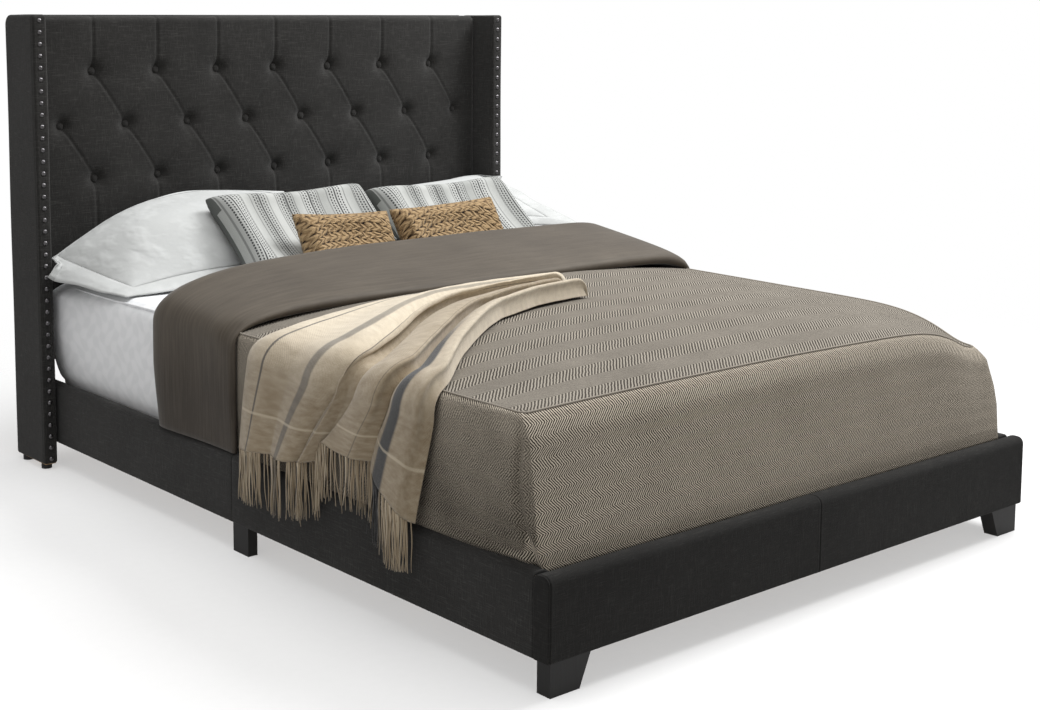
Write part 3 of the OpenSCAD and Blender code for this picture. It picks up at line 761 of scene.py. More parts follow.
def loop_path(low, high, radius, height, out, step=0.012):
    """Closed path round a rounded rectangle at one height, pushed out by out."""
    centres, reach, directions = outline(low, high, [radius] * 4, step)
    flat = centres + directions * (reach + out)[:, None]
    return np.insert(flat, 2, height, axis=1)


ring_path = loop_path(sheet_low[:2], sheet_high[:2], 45 * MM, sheet_high[2] - 11 * MM, -2 * MM)
ring_path[:, 2] += 2 * MM * waves(ring_path, 0.5, 44)
piping_foot = foot_share(ring_path)
ring_path[:, 1] += FOOT_IN * piping_foot
ring_path[:, 2] -= FOOT_DOWN * piping_foot
ring_path = sag(ring_path)
piping = tube("sheet_piping", ring_path, 3.4 * MM, 8, SHEET_WHITE, closed=True)
dress(piping, "mattress_set", "white_sheet")
print("the mattress wears its sheet")


# %% [markdown]
# ## Comforter
# The comforter is boxed: a top panel and a drop that runs round the two sides and the foot,
# with a corded seam between them. Both are grids with their flat cloth kept as a UV map, so
# the herringbone can follow the cloth. It could also be simulated, but a sewn box like this
# keeps its shape, so a formula with a soft unevenness is closer to it.

# %% Herringbone
def herringbone(name, pitch, band, dark, light, contrast=1.0, left_shade=0.0):
    """Slanting ribs that turn back at every band: rib = u + the zigzag of v, all over pitch.

    The last argument paints shade on the left side: it darkens the weave there, more towards the bottom, and
    flattens its contrast.
    """
    wool = Finish(name, Sheen_Weight=0.04, Specular_IOR_Level=0.15)
    u, v, _ = wool.split(wool.cloth())
    drift = wool.noise(wool.cloth(), 45, 3.0, 0.6) * 0.007
    zigzag = abs((v / (2 * band)).fract() - 0.5) * 2 * band
    rib = (((u + zigzag + drift) * (2 * math.pi / pitch)).sin() * 0.5 + 0.5).between(0.12, 0.88)
    thread = wool.noise(wool.cloth(), 420, 2.0, 0.6)
    broad = wool.noise(wool.cloth(), 7, 3.0, 0.6)
    x, _, z = wool.split(wool.place())
    # Painted shade: the comforter's left side is darker, more so towards the bottom, and its ribs are
    # flatter.
    left = (1 - x.between(-0.800, -0.792)) * left_shade
    amount = 0.5 + (rib - 0.5) * contrast * (1 - left * 0.75) + (thread - 0.5) * 1.5 + (broad - 0.5) * 0.35
    amount = amount - left * (0.10 + 0.20 * (1 - z.between(0.25, 0.52)))
    colour = wool.mix(amount, dark, light)
    return wool.finish(colour, rough=0.95, height=rib + thread, depth=0.0014, strength=0.6)


HERRINGBONE_TOP = herringbone("herringbone_top", 0.0092, 0.056, tone(50, 45, 39), tone(160, 153, 142),
                              contrast=0.95)
# The drop carries painted shade on its left side.
HERRINGBONE_DROP = herringbone("herringbone_drop", 0.0066, 0.0205, tone(36, 32, 26), tone(204, 193, 176),
                               contrast=1.3, left_shade=1.0)
SEAM_CORD = grainy("seam_cord", tone(100, 93, 84), tone(176, 168, 156), 0.002)

# %% Places of the comforter
quilt_low, quilt_high = (np.array(c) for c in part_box("comforter"))
HALF = quilt_high[0] - 20 * MM           # the top panel's seam, from the bed's middle
FOOT = quilt_low[1] + 56 * MM            # the seam at the foot
HEAD = node_range("comforter_turnback", 1)[0] + 0.02
SEAM_Z = sheet_high[2] + 7 * MM
HEM_Z = rail_top + 0.5 * MM


def top_height(x, y):
    """Height of the comforter's top: a crown that fades out to the seams, and soft hollows."""
    across = 1 - np.abs(x / HALF).clip(0, 1) ** 2.6
    along = 1 - np.exp(-(y - FOOT) / 0.16)
    crown = 36 * MM * across * along + 6 * MM * across
    droop = -10 * MM * (x / HALF).clip(0, 1) * (-y).clip(0, 1)
    soft = waves(np.stack([x, y, 0 * x], -1), 0.8, 51) * 2.2 * MM + waves(
        np.stack([x, y, 0 * x], -1), 0.23, 52) * 1.0 * MM
    return SEAM_Z + crown + droop + soft * across * along


def settle(points):
    """The far foot corner sags: points near it sink and draw in, less so towards the hem."""
    points = points.copy()
    away = np.hypot(points[..., 0] - HALF, points[..., 1] - FOOT)
    high = ((points[..., 2] - HEM_Z) / (SEAM_Z - HEM_Z)).clip(0, 1)
    points[..., 2] -= 64 * MM * bell(away, 0.18) * high
    points[..., 0] -= 36 * MM * bell(away, 0.11) * (0.30 + 0.70 * high)
    points[..., 1] += 10 * MM * bell(away, 0.11) * high
    return points


# %% Top panel
def make_top_panel():
    """The top: a grid over the bed at the height that top_height gives, thickened downwards."""
    gx, gy = np.meshgrid(np.linspace(-HALF, HALF, 150), np.linspace(FOOT, HEAD, 110), indexing="ij")
    round_in = 14 * MM * (np.abs(gx) / HALF > 0.985) * bell(gy - FOOT, 12 * MM) * np.sign(gx)
    points = settle(np.stack([gx - round_in, gy, top_height(gx, gy)], -1))
    panel = mesh_piece("comforter_top", points, cloth=np.stack([gx, gy], -1), finish=HERRINGBONE_TOP)
    shell = panel.modifiers.new("filling", "SOLIDIFY")
    shell.thickness, shell.offset = 12 * MM, -1
    return dress(panel, "comforter_set", "herringbone_wool", "comforter", fill=0.35)


print(make_top_panel().name, "is sewn")


# %% Drops
SIDE_POINTS, ARC_STEPS = 90, 12           # points along a side, steps round a foot corner
AT_CORNER = SIDE_POINTS + ARC_STEPS // 2  # place in the path of the left foot corner
CREASE = 15 * MM                          # depth of the crease beside each foot corner


def drop_path(radius=0.014):
    """Plan of the seam from the left head end, round the foot, to the right head end.

    Returns points, outward directions and how much each belongs to the foot (1) or a side (0).
    """
    left = np.stack([np.full(SIDE_POINTS, -HALF), np.linspace(HEAD, FOOT + radius, SIDE_POINTS)], -1)
    turn = np.radians(np.linspace(180, 270, ARC_STEPS + 1))[1:]
    corner = np.stack([np.cos(turn), np.sin(turn)], -1)
    bend = np.array([-HALF + radius, FOOT + radius]) + corner * radius
    foot = np.stack([np.linspace(-HALF + radius, 0, 70)[1:], np.full(69, FOOT)], -1)
    half = np.concatenate([left, bend, foot])
    out = np.concatenate([np.tile([-1.0, 0], (SIDE_POINTS, 1)), corner, np.tile([0, -1.0], (69, 1))])
    mirror = np.array([-1, 1])
    return np.concatenate([half, half[::-1][1:] * mirror]), np.concatenate([out, out[::-1][1:] * mirror])


PLAN, PLAN_OUT = drop_path()


def make_drops():
    """The drop: from the seam outwards and down to the hem just over the rails."""
    fall = np.linspace(0, 1, 34)
    away = 22 * MM * np.sin(np.pi * fall ** 0.55) ** 0.8 * (1 - 0.35 * fall) + 14 * MM * fall
    bow = np.interp(fall, [0, 0.13, 0.44, 0.63, 0.85, 1], [0.006, 0.024, 0.036, 0.032, 0.014, 0.0])
    toe = 22 * MM * np.minimum(fall * 7, 1) ** 0.7 + 34.5 * MM * fall
    front = np.abs(PLAN_OUT[:, 1])[:, None] ** 1.5
    tucked = 0.3 + 0.7 * ((HEAD - PLAN[:, 1]) / 0.16).clip(0, 1)[:, None]
    near = bell(PLAN[:, 1] - FOOT, 0.08)[:, None]
    reach = np.stack([away * tucked * (1 - near) + bow * near, toe + 0 * near], -1)
    square = PLAN_OUT / np.abs(PLAN_OUT).max(axis=1)[:, None]
    walk = np.concatenate([[0], np.cumsum(np.linalg.norm(np.diff(PLAN, axis=0), axis=1))])
    walk = walk - walk[-1] / 2
    z = (SEAM_Z + (HEM_Z - SEAM_Z) * fall)[None] - 13 * MM * front * fall[None] ** 3
    points = np.zeros((len(PLAN), len(fall), 3))
    points[..., :2] = PLAN[:, None] + square[:, None] * reach
    points[..., 2] = z - 4 * MM * np.sin(np.pi * fall)[None]
    points[..., 2] += (top_height(PLAN[:, 0], PLAN[:, 1]) - SEAM_Z)[:, None] * (1 - fall)[None]
    corner = np.minimum(np.abs(walk - walk[AT_CORNER]), np.abs(walk + walk[AT_CORNER]))[:, None]
    soft = waves(points * np.array([1, 1, 0.5]), 0.5, 53) * 4 * MM + waves(points, 0.2, 54) * 1.3 * MM
    push = soft * np.sin(np.pi * fall)[None] * (1 - 0.6 * bell(corner, 0.04))
    towards = np.maximum(walk[AT_CORNER] - walk, walk + walk[AT_CORNER])[:, None]
    push = push - CREASE * bell(towards - 4 * MM, 2.4 * MM) * np.minimum(fall * 5, 1)[None]
    points[..., :2] += PLAN_OUT[:, None] * push[..., None]
    points = settle(points)
    steps = np.linalg.norm(np.diff(points, axis=0), axis=-1)
    travel = np.concatenate([np.zeros((1, len(fall))), np.cumsum(steps, axis=0)])
    cloth = np.stack(np.broadcast_arrays(travel - travel[AT_CORNER], z), -1)
    drops = mesh_piece("comforter_drops", points[::-1], cloth=cloth[::-1], finish=HERRINGBONE_DROP)
    shell = drops.modifiers.new("filling", "SOLIDIFY")
    shell.thickness, shell.offset = 12 * MM, -1
    dress(drops, "comforter_set", "herringbone_wool", fill=0.35)
    seam = settle(np.insert(PLAN, 2, top_height(PLAN[:, 0], PLAN[:, 1]) + 0.5 * MM, axis=1))
    cord = tube("comforter_cord", seam, 2.2 * MM, 6, SEAM_CORD)
    dress(cord, "comforter_set", "herringbone_wool")


make_drops()
print("the drops hang to", round(HEM_Z, 3))


# %% [markdown]
# ## The turned-back band
# The comforter's head end is folded back on itself and shows its plain satin back: a plump roll
# with a thin edge towards the foot. Each cross-section along the bed is a closed loop; the loops
# are carried over the bed, up one side, across and down the other.

# %% Satin back
def satin(name, dark, light):
    """Smooth cloth with faint long slubs across the bed and a low sheen, and painted shade that darkens it
    lower down on the hanging ends.
    """
    cloth = Finish(name, Sheen_Weight=0.3, Sheen_Roughness=0.35, Specular_IOR_Level=0.35)
    slub = cloth.noise(cloth.place((9, 150, 9)), 1.0, 3.0, 0.6)
    broad = cloth.noise(cloth.place(), 4.5, 3.0, 0.55)
    weave = cloth.noise(cloth.place(), 900, 2.0, 0.6)
    _, _, z = cloth.split(cloth.place())
    # Painted shade: the band gets darker towards the bottom of its hanging ends.
    hang = 1 - z.between(0.26, 0.60)
    amount = slub.between(0.3, 0.75) * 0.28 + broad * 0.55 + weave * 0.12 - hang * 0.42
    return cloth.finish(cloth.mix(amount, dark, light), rough=0.62 + 0.1 * weave,
                        height=slub * 0.5 + weave * 0.4 + broad * 4, depth=0.001, strength=0.4)


TAUPE = satin("taupe_sateen", tone(56, 49, 41), tone(101, 93, 82))


# %% Band
def over_bed(rise, half, shoulder, base, left, right, count=90, hem=HEM_Z, side=18):
    """Path over the bed: straight up from the hem to base, a soft arch, and down again.

    The arch is z = base + rise * (1 - |x / half| ** power) ** shoulder, with a power for each side.
    """
    turn = np.linspace(math.pi, 0, count)
    x = half * np.sign(np.cos(turn)) * np.abs(np.cos(turn)) ** 0.6
    power = np.where(x < 0, left, right)
    z = base + rise * (1 - np.abs(x / half).clip(0, 1) ** power) ** shoulder
    up = np.linspace(hem, base, side, endpoint=False)
    return np.concatenate([np.stack([np.full(side, -half), up], -1), np.stack([x, z], -1),
                           np.stack([np.full(side, half), up[::-1]], -1)])


def make_band():
    """The band: closed loops carried over the bed, from one hanging end to the other."""
    edge_y, fold_y = node_range("comforter_turnback", 1)
    crest_y = fold_y - 54 * MM
    edge = over_bed(88 * MM, 0.812, 0.36, 0.500, 6, 12)
    crest = over_bed(154 * MM, 0.816, 0.33, 0.500, 3.2, 14)
    under_edge = over_bed(64 * MM, 0.800, 0.34, 0.500, 6, 8)
    under_fold = over_bed(34 * MM, 0.796, 0.34, 0.496, 8, 8)
    part = np.linspace(0, 1, 26)
    turn = np.linspace(0, math.pi, 12)[1:-1]
    rows, places = [], []
    for p in part:
        rows.append(edge + (crest - edge) * p ** 0.75)
        places.append(edge_y + (crest_y - edge_y) * p)
    for a in turn:
        rows.append(crest + (under_fold - crest) * (1 - math.cos(a)) / 2)
        places.append(crest_y + (fold_y - crest_y) * math.sin(a))
    for p in part[::-1]:
        rows.append(under_edge + (under_fold - under_edge) * p)
        places.append(edge_y + (crest_y - edge_y) * p)
    for a in turn[2:-2:2]:
        rows.append(under_edge + (edge - under_edge) * (1 - math.cos(a)) / 2)
        places.append(edge_y - 8 * MM * math.sin(a))
    loop = np.stack(rows, 1)
    y = np.broadcast_to(np.array(places)[None], loop.shape[:2]).copy()
    low = (0.400 - loop[..., 1]).clip(0, 1)
    y -= low * 0.155 * ((y - edge_y) / (fold_y - edge_y)).clip(0, 1)
    points = np.stack([loop[..., 0], y, loop[..., 1]], -1)
    outer = np.zeros(len(places))
    outer[:len(part) + 6] = 1
    middle = np.array([0, crest_y, 0.45])
    away = points - middle
    away[..., 1] = 0
    away /= np.linalg.norm(away, axis=-1)[..., None]
    soft = waves(points * np.array([0.8, 1.2, 0.8]), 0.55, 61) * 4.5 * MM + waves(points, 0.2, 62) * 1.2 * MM
    pinch = bell(np.linalg.norm(points - np.array([-0.795, edge_y + 0.01, 0.535]), axis=-1), 0.03)
    points = points + away * (soft * outer - 12 * MM * pinch * outer)[..., None]
    band = mesh_piece("turned_back_band", points, wrap=(False, True), finish=TAUPE)
    close_ends(band)
    return dress(band, "comforter_set", "taupe_sateen", "comforter_turnback", fill=0.55)


def close_ends(piece):
    """Closes open ends with a face each and turns all the faces outwards."""
    work = bmesh.new()
    work.from_mesh(piece.data)
    bmesh.ops.holes_fill(work, edges=work.edges, sides=0)
    bmesh.ops.recalc_face_normals(work, faces=work.faces)
    work.to_mesh(piece.data)
    work.free()


print(make_band().name, "is turned back")


# %% [markdown]
# ## Throw
# A brushed wool throw lies over the left side: it hangs flat at its fringe and is gathered into
# rolls towards the middle of the bed. Its two long edges are curves on the bed; the cloth between
# them is a wave whose ridges grow rounder and taller as the edges come together. It is made
# by a formula, because that lets each fold be placed. The formula doesn't keep the cloth's
# width: measured over its folds, it is 0.80 m at the hem and 0.27 m at the tip, where a real
# throw would bunch up. So the flat size given below is chosen to suit this surface. It is
# less than a real throw's, and narrower than the hem.

# %% Plaid wool
def plaid(name, base, light, stripe_dark, stripe_light):
    """Soft wool: a brushed base with dark stripes along the cloth and a pale one across it, and a painted
    highlight that lightens it near the bend over the comforter's edge.
    """
    wool = Finish(name, Sheen_Weight=0.35, Sheen_Roughness=0.5, Specular_IOR_Level=0.15)
    u, v, _ = wool.split(wool.cloth())
    soft = wool.noise(wool.cloth((1, 0.35, 1)), 60, 3.0, 0.6)
    fuzz = wool.noise(wool.cloth(), 500, 2.0, 0.6)
    twill = ((u + v) * 1300).sin() * 0.5 + 0.5
    # Painted highlight: the cloth is lighter near its bend over the comforter's edge, less so on its middle
    # fold.
    bend_highlight = u.between(0.20, 0.42) * (1 - v.between(0.25, 0.50) * (1 - v.between(0.70, 0.95)) * 0.8)
    colour = wool.mix(soft * 0.6 + fuzz * 0.4 + twill * 0.1 + bend_highlight * 0.60 - 0.30, base, light)
    ragged = (fuzz - 0.5) * 0.006
    for place, width, amount in ((0.075, 0.006, 0.8), (0.20, 0.026, 0.62), (0.385, 0.007, 0.9),
                                 (0.62, 0.004, 0.5), (0.76, 0.052, 1.0)):
        line = 1 - abs(v - place + ragged).between(width * 0.35, width * 0.65)
        line = line * (1 - u.between(0.42, 0.62) * (0.8 if width > 0.03 else 0.2))
        colour = wool.mix(line * amount, colour, stripe_dark)
    line = 1 - abs(u - 0.125 + ragged).between(0.002, 0.006)
    colour = wool.mix(line * 0.5, colour, stripe_light)
    return wool.finish(colour, rough=0.92, height=soft + fuzz + twill * 0.4, depth=0.0018, strength=0.6)


PLAID = plaid("plaid_wool", tone(124, 105, 77), tone(226, 213, 190), tone(46, 46, 47), tone(216, 203, 178))

# %% Edges and folds of the throw
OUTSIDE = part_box("throw")[0][0] + 6 * MM          # where the cloth hangs, beside the rail
TURN = 0.045                             # radius of its bend over the comforter's edge
THROW_TOP = SEAM_Z + 2.5 * MM


def on_bed(rise, y):
    """Point and outward direction of the throw's bed: up the side, round the edge, over the top.

    rise is the distance from the height of the top's edge; below 0 it goes down the side.
    """
    bend = TURN * math.pi / 2
    angle = (rise / TURN).clip(0, math.pi / 2)
    over = (rise - bend).clip(0, None)
    down = rise.clip(None, 0)
    x = OUTSIDE + TURN * (1 - np.cos(angle)) + over
    top = top_height(x.clip(-HALF, HALF), y) - SEAM_Z
    z = THROW_TOP - TURN + TURN * np.sin(angle) + down + top * np.sin(angle)
    out = np.stack([-np.cos(angle), 0 * x, np.sin(angle)], -1)
    return np.stack([x, y, z], -1), out


def smooth_rows(values):
    """Rounds off a curve by taking the mean of neighbours, with its ends held."""
    values = values.copy()
    for _ in range(14):
        values[1:-1] = (values[:-2] + 2 * values[1:-1] + values[2:]) / 4
    return values


ROLLS = (0, 0.52, 0.70, 1)               # the cloth's folds between its two long edges


def throw_lines(along):
    """Height and place along the bed of the back edge, two folds and the front edge.

    Each line is a soft curve through nine places on its way from the hem to the tip: three on
    the bed's side, one at the bend and the rest over the top.
    """
    places = [0, 0.10, 0.20, 0.26, 0.36, 0.50, 0.66, 0.82, 1.0]
    rises = [[-0.222, -0.12, -0.01, 0.06, 0.20, 0.40, 0.59, 0.78, 0.985],
             [-0.228, -0.13, -0.03, 0.04, 0.16, 0.33, 0.51, 0.68, 0.90],
             [-0.235, -0.13, -0.02, 0.06, 0.20, 0.36, 0.49, 0.65, 0.855],
             [-0.237, -0.12, 0.0, 0.07, 0.22, 0.39, 0.52, 0.68, 0.885]]
    ys = [[-0.050, -0.068, -0.095, -0.110, -0.095, -0.080, -0.095, -0.125, -0.165],
          [-0.384, -0.450, -0.520, -0.545, -0.470, -0.350, -0.270, -0.245, -0.240],
          [-0.576, -0.600, -0.645, -0.655, -0.555, -0.445, -0.370, -0.320, -0.290],
          [-0.719, -0.750, -0.780, -0.760, -0.625, -0.500, -0.420, -0.370, -0.340]]
    return [np.stack([smooth_rows(np.interp(along, places, row)) for row in table], 1)
            for table in (rises, ys)]


def throw_folds(along, across):
    """Place across the throw and height of the cloth, for every place along and across it.

    Between two lines the cloth is an arch whose top leans over towards the foot, so that it
    laps over the next one; arches grow tall towards the tip. Near the hem the broad first
    arch has three pleats, and further up long creases.
    """
    s, t = along[:, None], across[None]
    rising = ((s - 0.04) / 0.40).clip(0, 1)
    gather = rising ** 2 * (3 - 2 * rising)
    place, height = t + 0 * s, 0 * s * t
    for start, end, near, far in zip(ROLLS, ROLLS[1:], (12, 30, 28), (44, 44, 46)):
        part = ((t - start) / (end - start)).clip(0, 1)
        inside = (t >= start) & (t < end + 1e-9 * (end == 1))
        tall = near * MM * (1 - gather) + far * MM * gather
        height = height + tall * np.sin(math.pi * part) ** 0.7 * inside
        lean = (0.20 + 0.24 * gather) * (end - start)
        place = place + lean * np.sin(math.pi * part) ** 2 * inside
    first = (t / ROLLS[1]).clip(0, 1)
    pleat = np.abs(np.sin(math.pi * (3.1 * first + 0.1 + 0.25 * s))) ** 1.2
    crease = np.sin(math.pi * (5.0 * first + 1.4 * s)) * np.sin(math.pi * first)
    pleats = (24 * MM * pleat - 6 * MM) * (1 - s).clip(0, 1) ** 5 * np.minimum(first * 6, 1)
    creases = 12 * MM * crease * gather ** 0.6 * (1 - 0.6 * s)
    height = height + (t < ROLLS[1]) * (pleats + creases)
    return place, height


# %% Throw
def throw_surface(rows=160, columns=330):
    """The cloth on a grid: a place between two lines, pushed outwards by the height of its fold."""
    along, across = np.linspace(0, 1, rows), np.linspace(0, 1, columns)
    rises, ys = throw_lines(along)
    hem = np.interp(across, [0, 0.1, 0.3, 0.50, 0.54, 0.70, 0.76, 0.88, 1],
                    [0, 0.014, 0.031, 0.045, 0.100, 0.098, 0.060, 0.022, 0])
    place, height = throw_folds(along, across)
    lane = np.searchsorted(ROLLS[1:-1], place, side="right")
    part = (place - np.take(ROLLS, lane)) / (np.take(ROLLS, lane + 1) - np.take(ROLLS, lane))
    row = np.arange(rows)[:, None]
    rise = rises[row, lane] * (1 - part) + rises[row, lane + 1] * part
    rise = rise + hem[None] * (1 - along[:, None]).clip(0, 1) ** 6
    y = ys[row, lane] * (1 - part) + ys[row, lane + 1] * part
    base, out = on_bed(rise, y)
    tip = np.sqrt(1 - (1 - ((1 - along) / 0.035).clip(0, 1)) ** 2)[:, None]
    rim = (np.minimum(across, 1 - across) / 0.02).clip(0, 1)[None] ** 0.5
    soft = (waves(base, 0.3, 71) * 2.5 + waves(base, 0.1, 72) * 0.8) * MM
    height = (height * (0.2 + 0.8 * rim) + soft) * tip + 3.5 * MM
    points = base + out * height[..., None]
    length = np.linspace(0, 1.25, rows)[:, None] * np.ones((1, columns))
    width = np.linspace(0, 1.0, columns)[None] * np.ones((rows, 1))
    return points, np.stack([length, width], -1)


def make_throw():
    """The throw's surface as one mesh; the wool's thickness is a Solidify modifier."""
    points, cloth = throw_surface()
    throw = mesh_piece("throw_cloth", points[:, ::-1], cloth=cloth[:, ::-1], finish=PLAID)
    shell = throw.modifiers.new("wool_thickness", "SOLIDIFY")
    shell.thickness, shell.offset = 4.5 * MM, 0
    dress(throw, "throw_set", "plaid_wool", "throw")
    cells = np.cross(np.diff(points, axis=0)[:, :-1], np.diff(points, axis=1)[:-1])
    area = np.linalg.norm(cells, axis=-1).sum()
    print("the throw's cloth covers", round(float(area), 3), "square metres")
    return throw, points, cloth


def make_fringe(points, cloth, count=230):
    """Twisted strands from the hem: each a thin tapering tube that hangs and sways a little."""
    random = np.random.default_rng(72)
    where = np.sort(random.uniform(0.004, 0.996, count)) * (points.shape[1] - 1)
    low = np.floor(where).astype(int)
    part = (where - low)[:, None]
    root = points[0][low] * (1 - part) + points[0][low + 1] * part
    share = where / (points.shape[1] - 1)
    long = 0.118 + 0.02 * np.sin(share * 9) + 0.03 * bell(share - 0.5, 0.12)
    long = (long + random.normal(0, 0.008, count)).clip(0.05, root[:, 2] - 0.150)
    rings, sides = 9, 5
    fall = np.linspace(0, 1, rings)[None, :, None]
    sway = random.normal(0, 1, (count, 2)) * np.array([2.0, 6.0]) * MM
    curl = random.uniform(0, 2 * math.pi, count)[:, None]
    path = root[:, None] + np.array([0, 0, -1.0]) * fall * long[:, None, None]
    path[..., 1] += sway[:, 1:] * fall[..., 0] ** 1.5 + 1.6 * MM * np.sin(fall[..., 0] * 5 + curl)
    path[..., 0] += -1.5 * MM + sway[:, :1] * fall[..., 0] + 1.0 * MM * np.cos(fall[..., 0] * 6 + curl)
    path[..., 0] = np.minimum(path[..., 0], -0.8185)
    turn = np.linspace(0, 2 * math.pi, sides, endpoint=False)
    radius = random.uniform(1.2, 1.9, count)[:, None, None] * MM * (1 - 0.65 * fall[..., 0][..., None] ** 2)
    ring = np.stack([np.cos(turn), np.sin(turn), 0 * turn], -1)
    tubes = path[:, :, None] + ring[None, None] * radius[..., None]
    tip = path[:, -1:, None] + np.zeros((1, 1, sides, 3))
    top = path[:, :1, None] + np.zeros((1, 1, sides, 3))
    grid = np.concatenate([top, tubes, tip], 1).reshape(count * (rings + 2), sides, 3)
    uv = np.zeros((count * (rings + 2), sides + 1, 2))
    uv[..., 1] = np.repeat(share, rings + 2)[:, None] * cloth[0, -1, 1]
    uv[..., 0] = 0.02 + random.uniform(0, 0.25, count).repeat(rings + 2)[:, None]
    fringe = mesh_piece("throw_fringe_strands", grid, wrap=(False, True), cloth=uv, finish=PLAID)
    work = bmesh.new()
    work.from_mesh(fringe.data)
    work.faces.ensure_lookup_table()
    bridge = [work.faces[k * sides + s] for k in range(rings + 1, count * (rings + 2) - 1, rings + 2)
              for s in range(sides)]
    bmesh.ops.delete(work, geom=bridge, context="FACES_ONLY")
    bmesh.ops.remove_doubles(work, verts=work.verts, dist=1e-6)
    bmesh.ops.recalc_face_normals(work, faces=work.faces)
    work.to_mesh(fringe.data)
    work.free()
    return dress(fringe, "throw_set", "plaid_wool", "throw_fringe")


throw, throw_points, throw_cloth = make_throw()
fringe = make_fringe(throw_points, throw_cloth)


# %% [markdown]
# ## Pillows and cushions
# Each starts as two flat panels sewn at their edge. Cloth simulation blows them up: gravity is
# off and a little pressure does the stuffing's work, which draws the sides in and leaves
# puckers at the seams. The shape is then laid on the bed along a curved middle surface.

# %% Stuffing
def flat_bag(name, width, length, columns, rows, pull=0.03):
    """Two panels of width by length, joined all round: the front grid goes on as the back."""
    u = np.linspace(-1, 1, columns)
    v = np.linspace(-1, 1, rows)
    v = np.concatenate([v, v[::-1][1:-1]])
    side = np.concatenate([np.ones(rows), -np.ones(rows - 2)])
    gu, gv = np.meshgrid(u, v, indexing="ij")
    slim = (1 - gu ** 2) * (1 - gv ** 2)
    across = gu * width / 2 * (1 - pull * (1 - gv ** 2))
    along = gv * length / 2 * (1 - pull * (1 - gu ** 2))
    points = np.stack([across, along, side[None] * slim ** 0.5 * 0.012], -1)
    unrolled = np.linspace(-1, 3, 2 * rows - 1)     # the back carries on where the front ends
    cloth = np.stack(np.meshgrid(u * width / 2, unrolled * length / 2, indexing="ij"), -1)
    bag = mesh_piece(name, points, wrap=(False, True), cloth=cloth)
    return weld(bag, 1e-6)


def stuff(bag, thickness, pressure=4.0, stiff=8.0, hold=None):
    """Blows the bag up by a short simulation, then sets its thickness."""
    mesh = bag.data
    rest = np.zeros(len(mesh.vertices) * 3)
    mesh.vertices.foreach_get("co", rest)
    rest = rest.reshape(-1, 3)
    scene = bpy.context.scene
    if hold is not None:
        group = bag.vertex_groups.new(name="hold")
        group.add([int(k) for k in np.nonzero(hold(rest))[0]], 1.0, "REPLACE")
    cloth = bag.modifiers.new("stuffing", "CLOTH")
    settings = cloth.settings
    settings.use_pressure, settings.uniform_pressure_force = True, pressure
    settings.effector_weights.gravity = 0
    settings.tension_stiffness = settings.compression_stiffness = stiff
    settings.bending_stiffness = 0.3
    settings.quality = 5
    cloth.collision_settings.use_self_collision = False
    if hold is not None:
        settings.vertex_group_mass = "hold"
    frames = 6                           # more steps would draw the sides in too far
    cloth.point_cache.frame_start, cloth.point_cache.frame_end = 1, frames
    for number in range(1, frames + 1):
        scene.frame_set(number)
    seen = bag.evaluated_get(bpy.context.evaluated_depsgraph_get())
    swollen = np.zeros_like(rest).ravel()
    seen.data.vertices.foreach_get("co", swollen)
    swollen = swollen.reshape(-1, 3)
    bag.modifiers.remove(cloth)
    bag.vertex_groups.clear()
    scene.frame_set(1)
    deep = np.ptp(swollen[:, 2])
    swollen[:, 2] *= thickness / max(deep, 1e-6)
    print(bag.name, "swelled to", [round(float(d), 3) for d in np.ptp(swollen, axis=0)])
    return swollen


def lay(bag, local, place):
    """Moves a stuffed bag's points to the bed; place maps (u, v) to a point, out of the plane by w."""
    half = np.ptp(local[:, :2], axis=0) / 2
    u = (local[:, 0] / half[0]).clip(-1.2, 1.2)
    v = (local[:, 1] / half[1]).clip(-1.2, 1.2)
    small = 1e-3
    middle = place(u, v)
    across = place(u + small, v) - middle
    up = place(u, v + small) - middle
    normal = np.cross(across, up)
    normal /= np.linalg.norm(normal, axis=1)[:, None]
    bag.data.vertices.foreach_set("co", (middle + normal * local[:, 2:]).ravel())
    bag.data.update()
    finer = bag.modifiers.new("smooth", "SUBSURF")
    finer.levels = finer.render_levels = 1


# %% Cloths of the cushions
def dashes(name, base, light, ink):
    """Pale cotton with rows of dark stitches up the cushion, in groups, some whole lines."""
    cotton = Finish(name, Sheen_Weight=0.15, Specular_IOR_Level=0.25)
    u, v, _ = cotton.split(cotton.cloth())
    fuzz = cotton.noise(cotton.cloth(), 500, 2.0, 0.6)
    patch = cotton.noise(cotton.cloth((22, 0.4, 1)), 1.0, 2.0, 0.5)
    bands = (u * 52).sin() * 0.5 + 0.5
    colour = cotton.mix(fuzz * 0.4 + bands * 0.6, base, light)
    row = (u / 0.0095).floor()
    line = 1 - abs((u / 0.0095).fract() - 0.5 + (fuzz - 0.5) * 0.1).between(0.18, 0.28)
    dash = ((v / 0.010 + (row * 0.618).fract())).fract().between(0.28, 0.38)
    group = 1 - abs((u / 0.092).fract() - 0.5).between(0.27, 0.29)
    whole = ((row * 0.2071).fract()).between(0.80, 0.82)
    thin = 1 - abs((u / 0.0310).fract() - 0.5).between(0.04, 0.08)
    ink_amount = (line * (dash * group).max(whole * group)).max(thin * 0.5) * 0.92
    colour = cotton.mix(ink_amount, colour, ink)
    return cotton.finish(colour, rough=0.85, height=fuzz + ink_amount * 1.2 + patch,
                         depth=0.0012, strength=0.5)


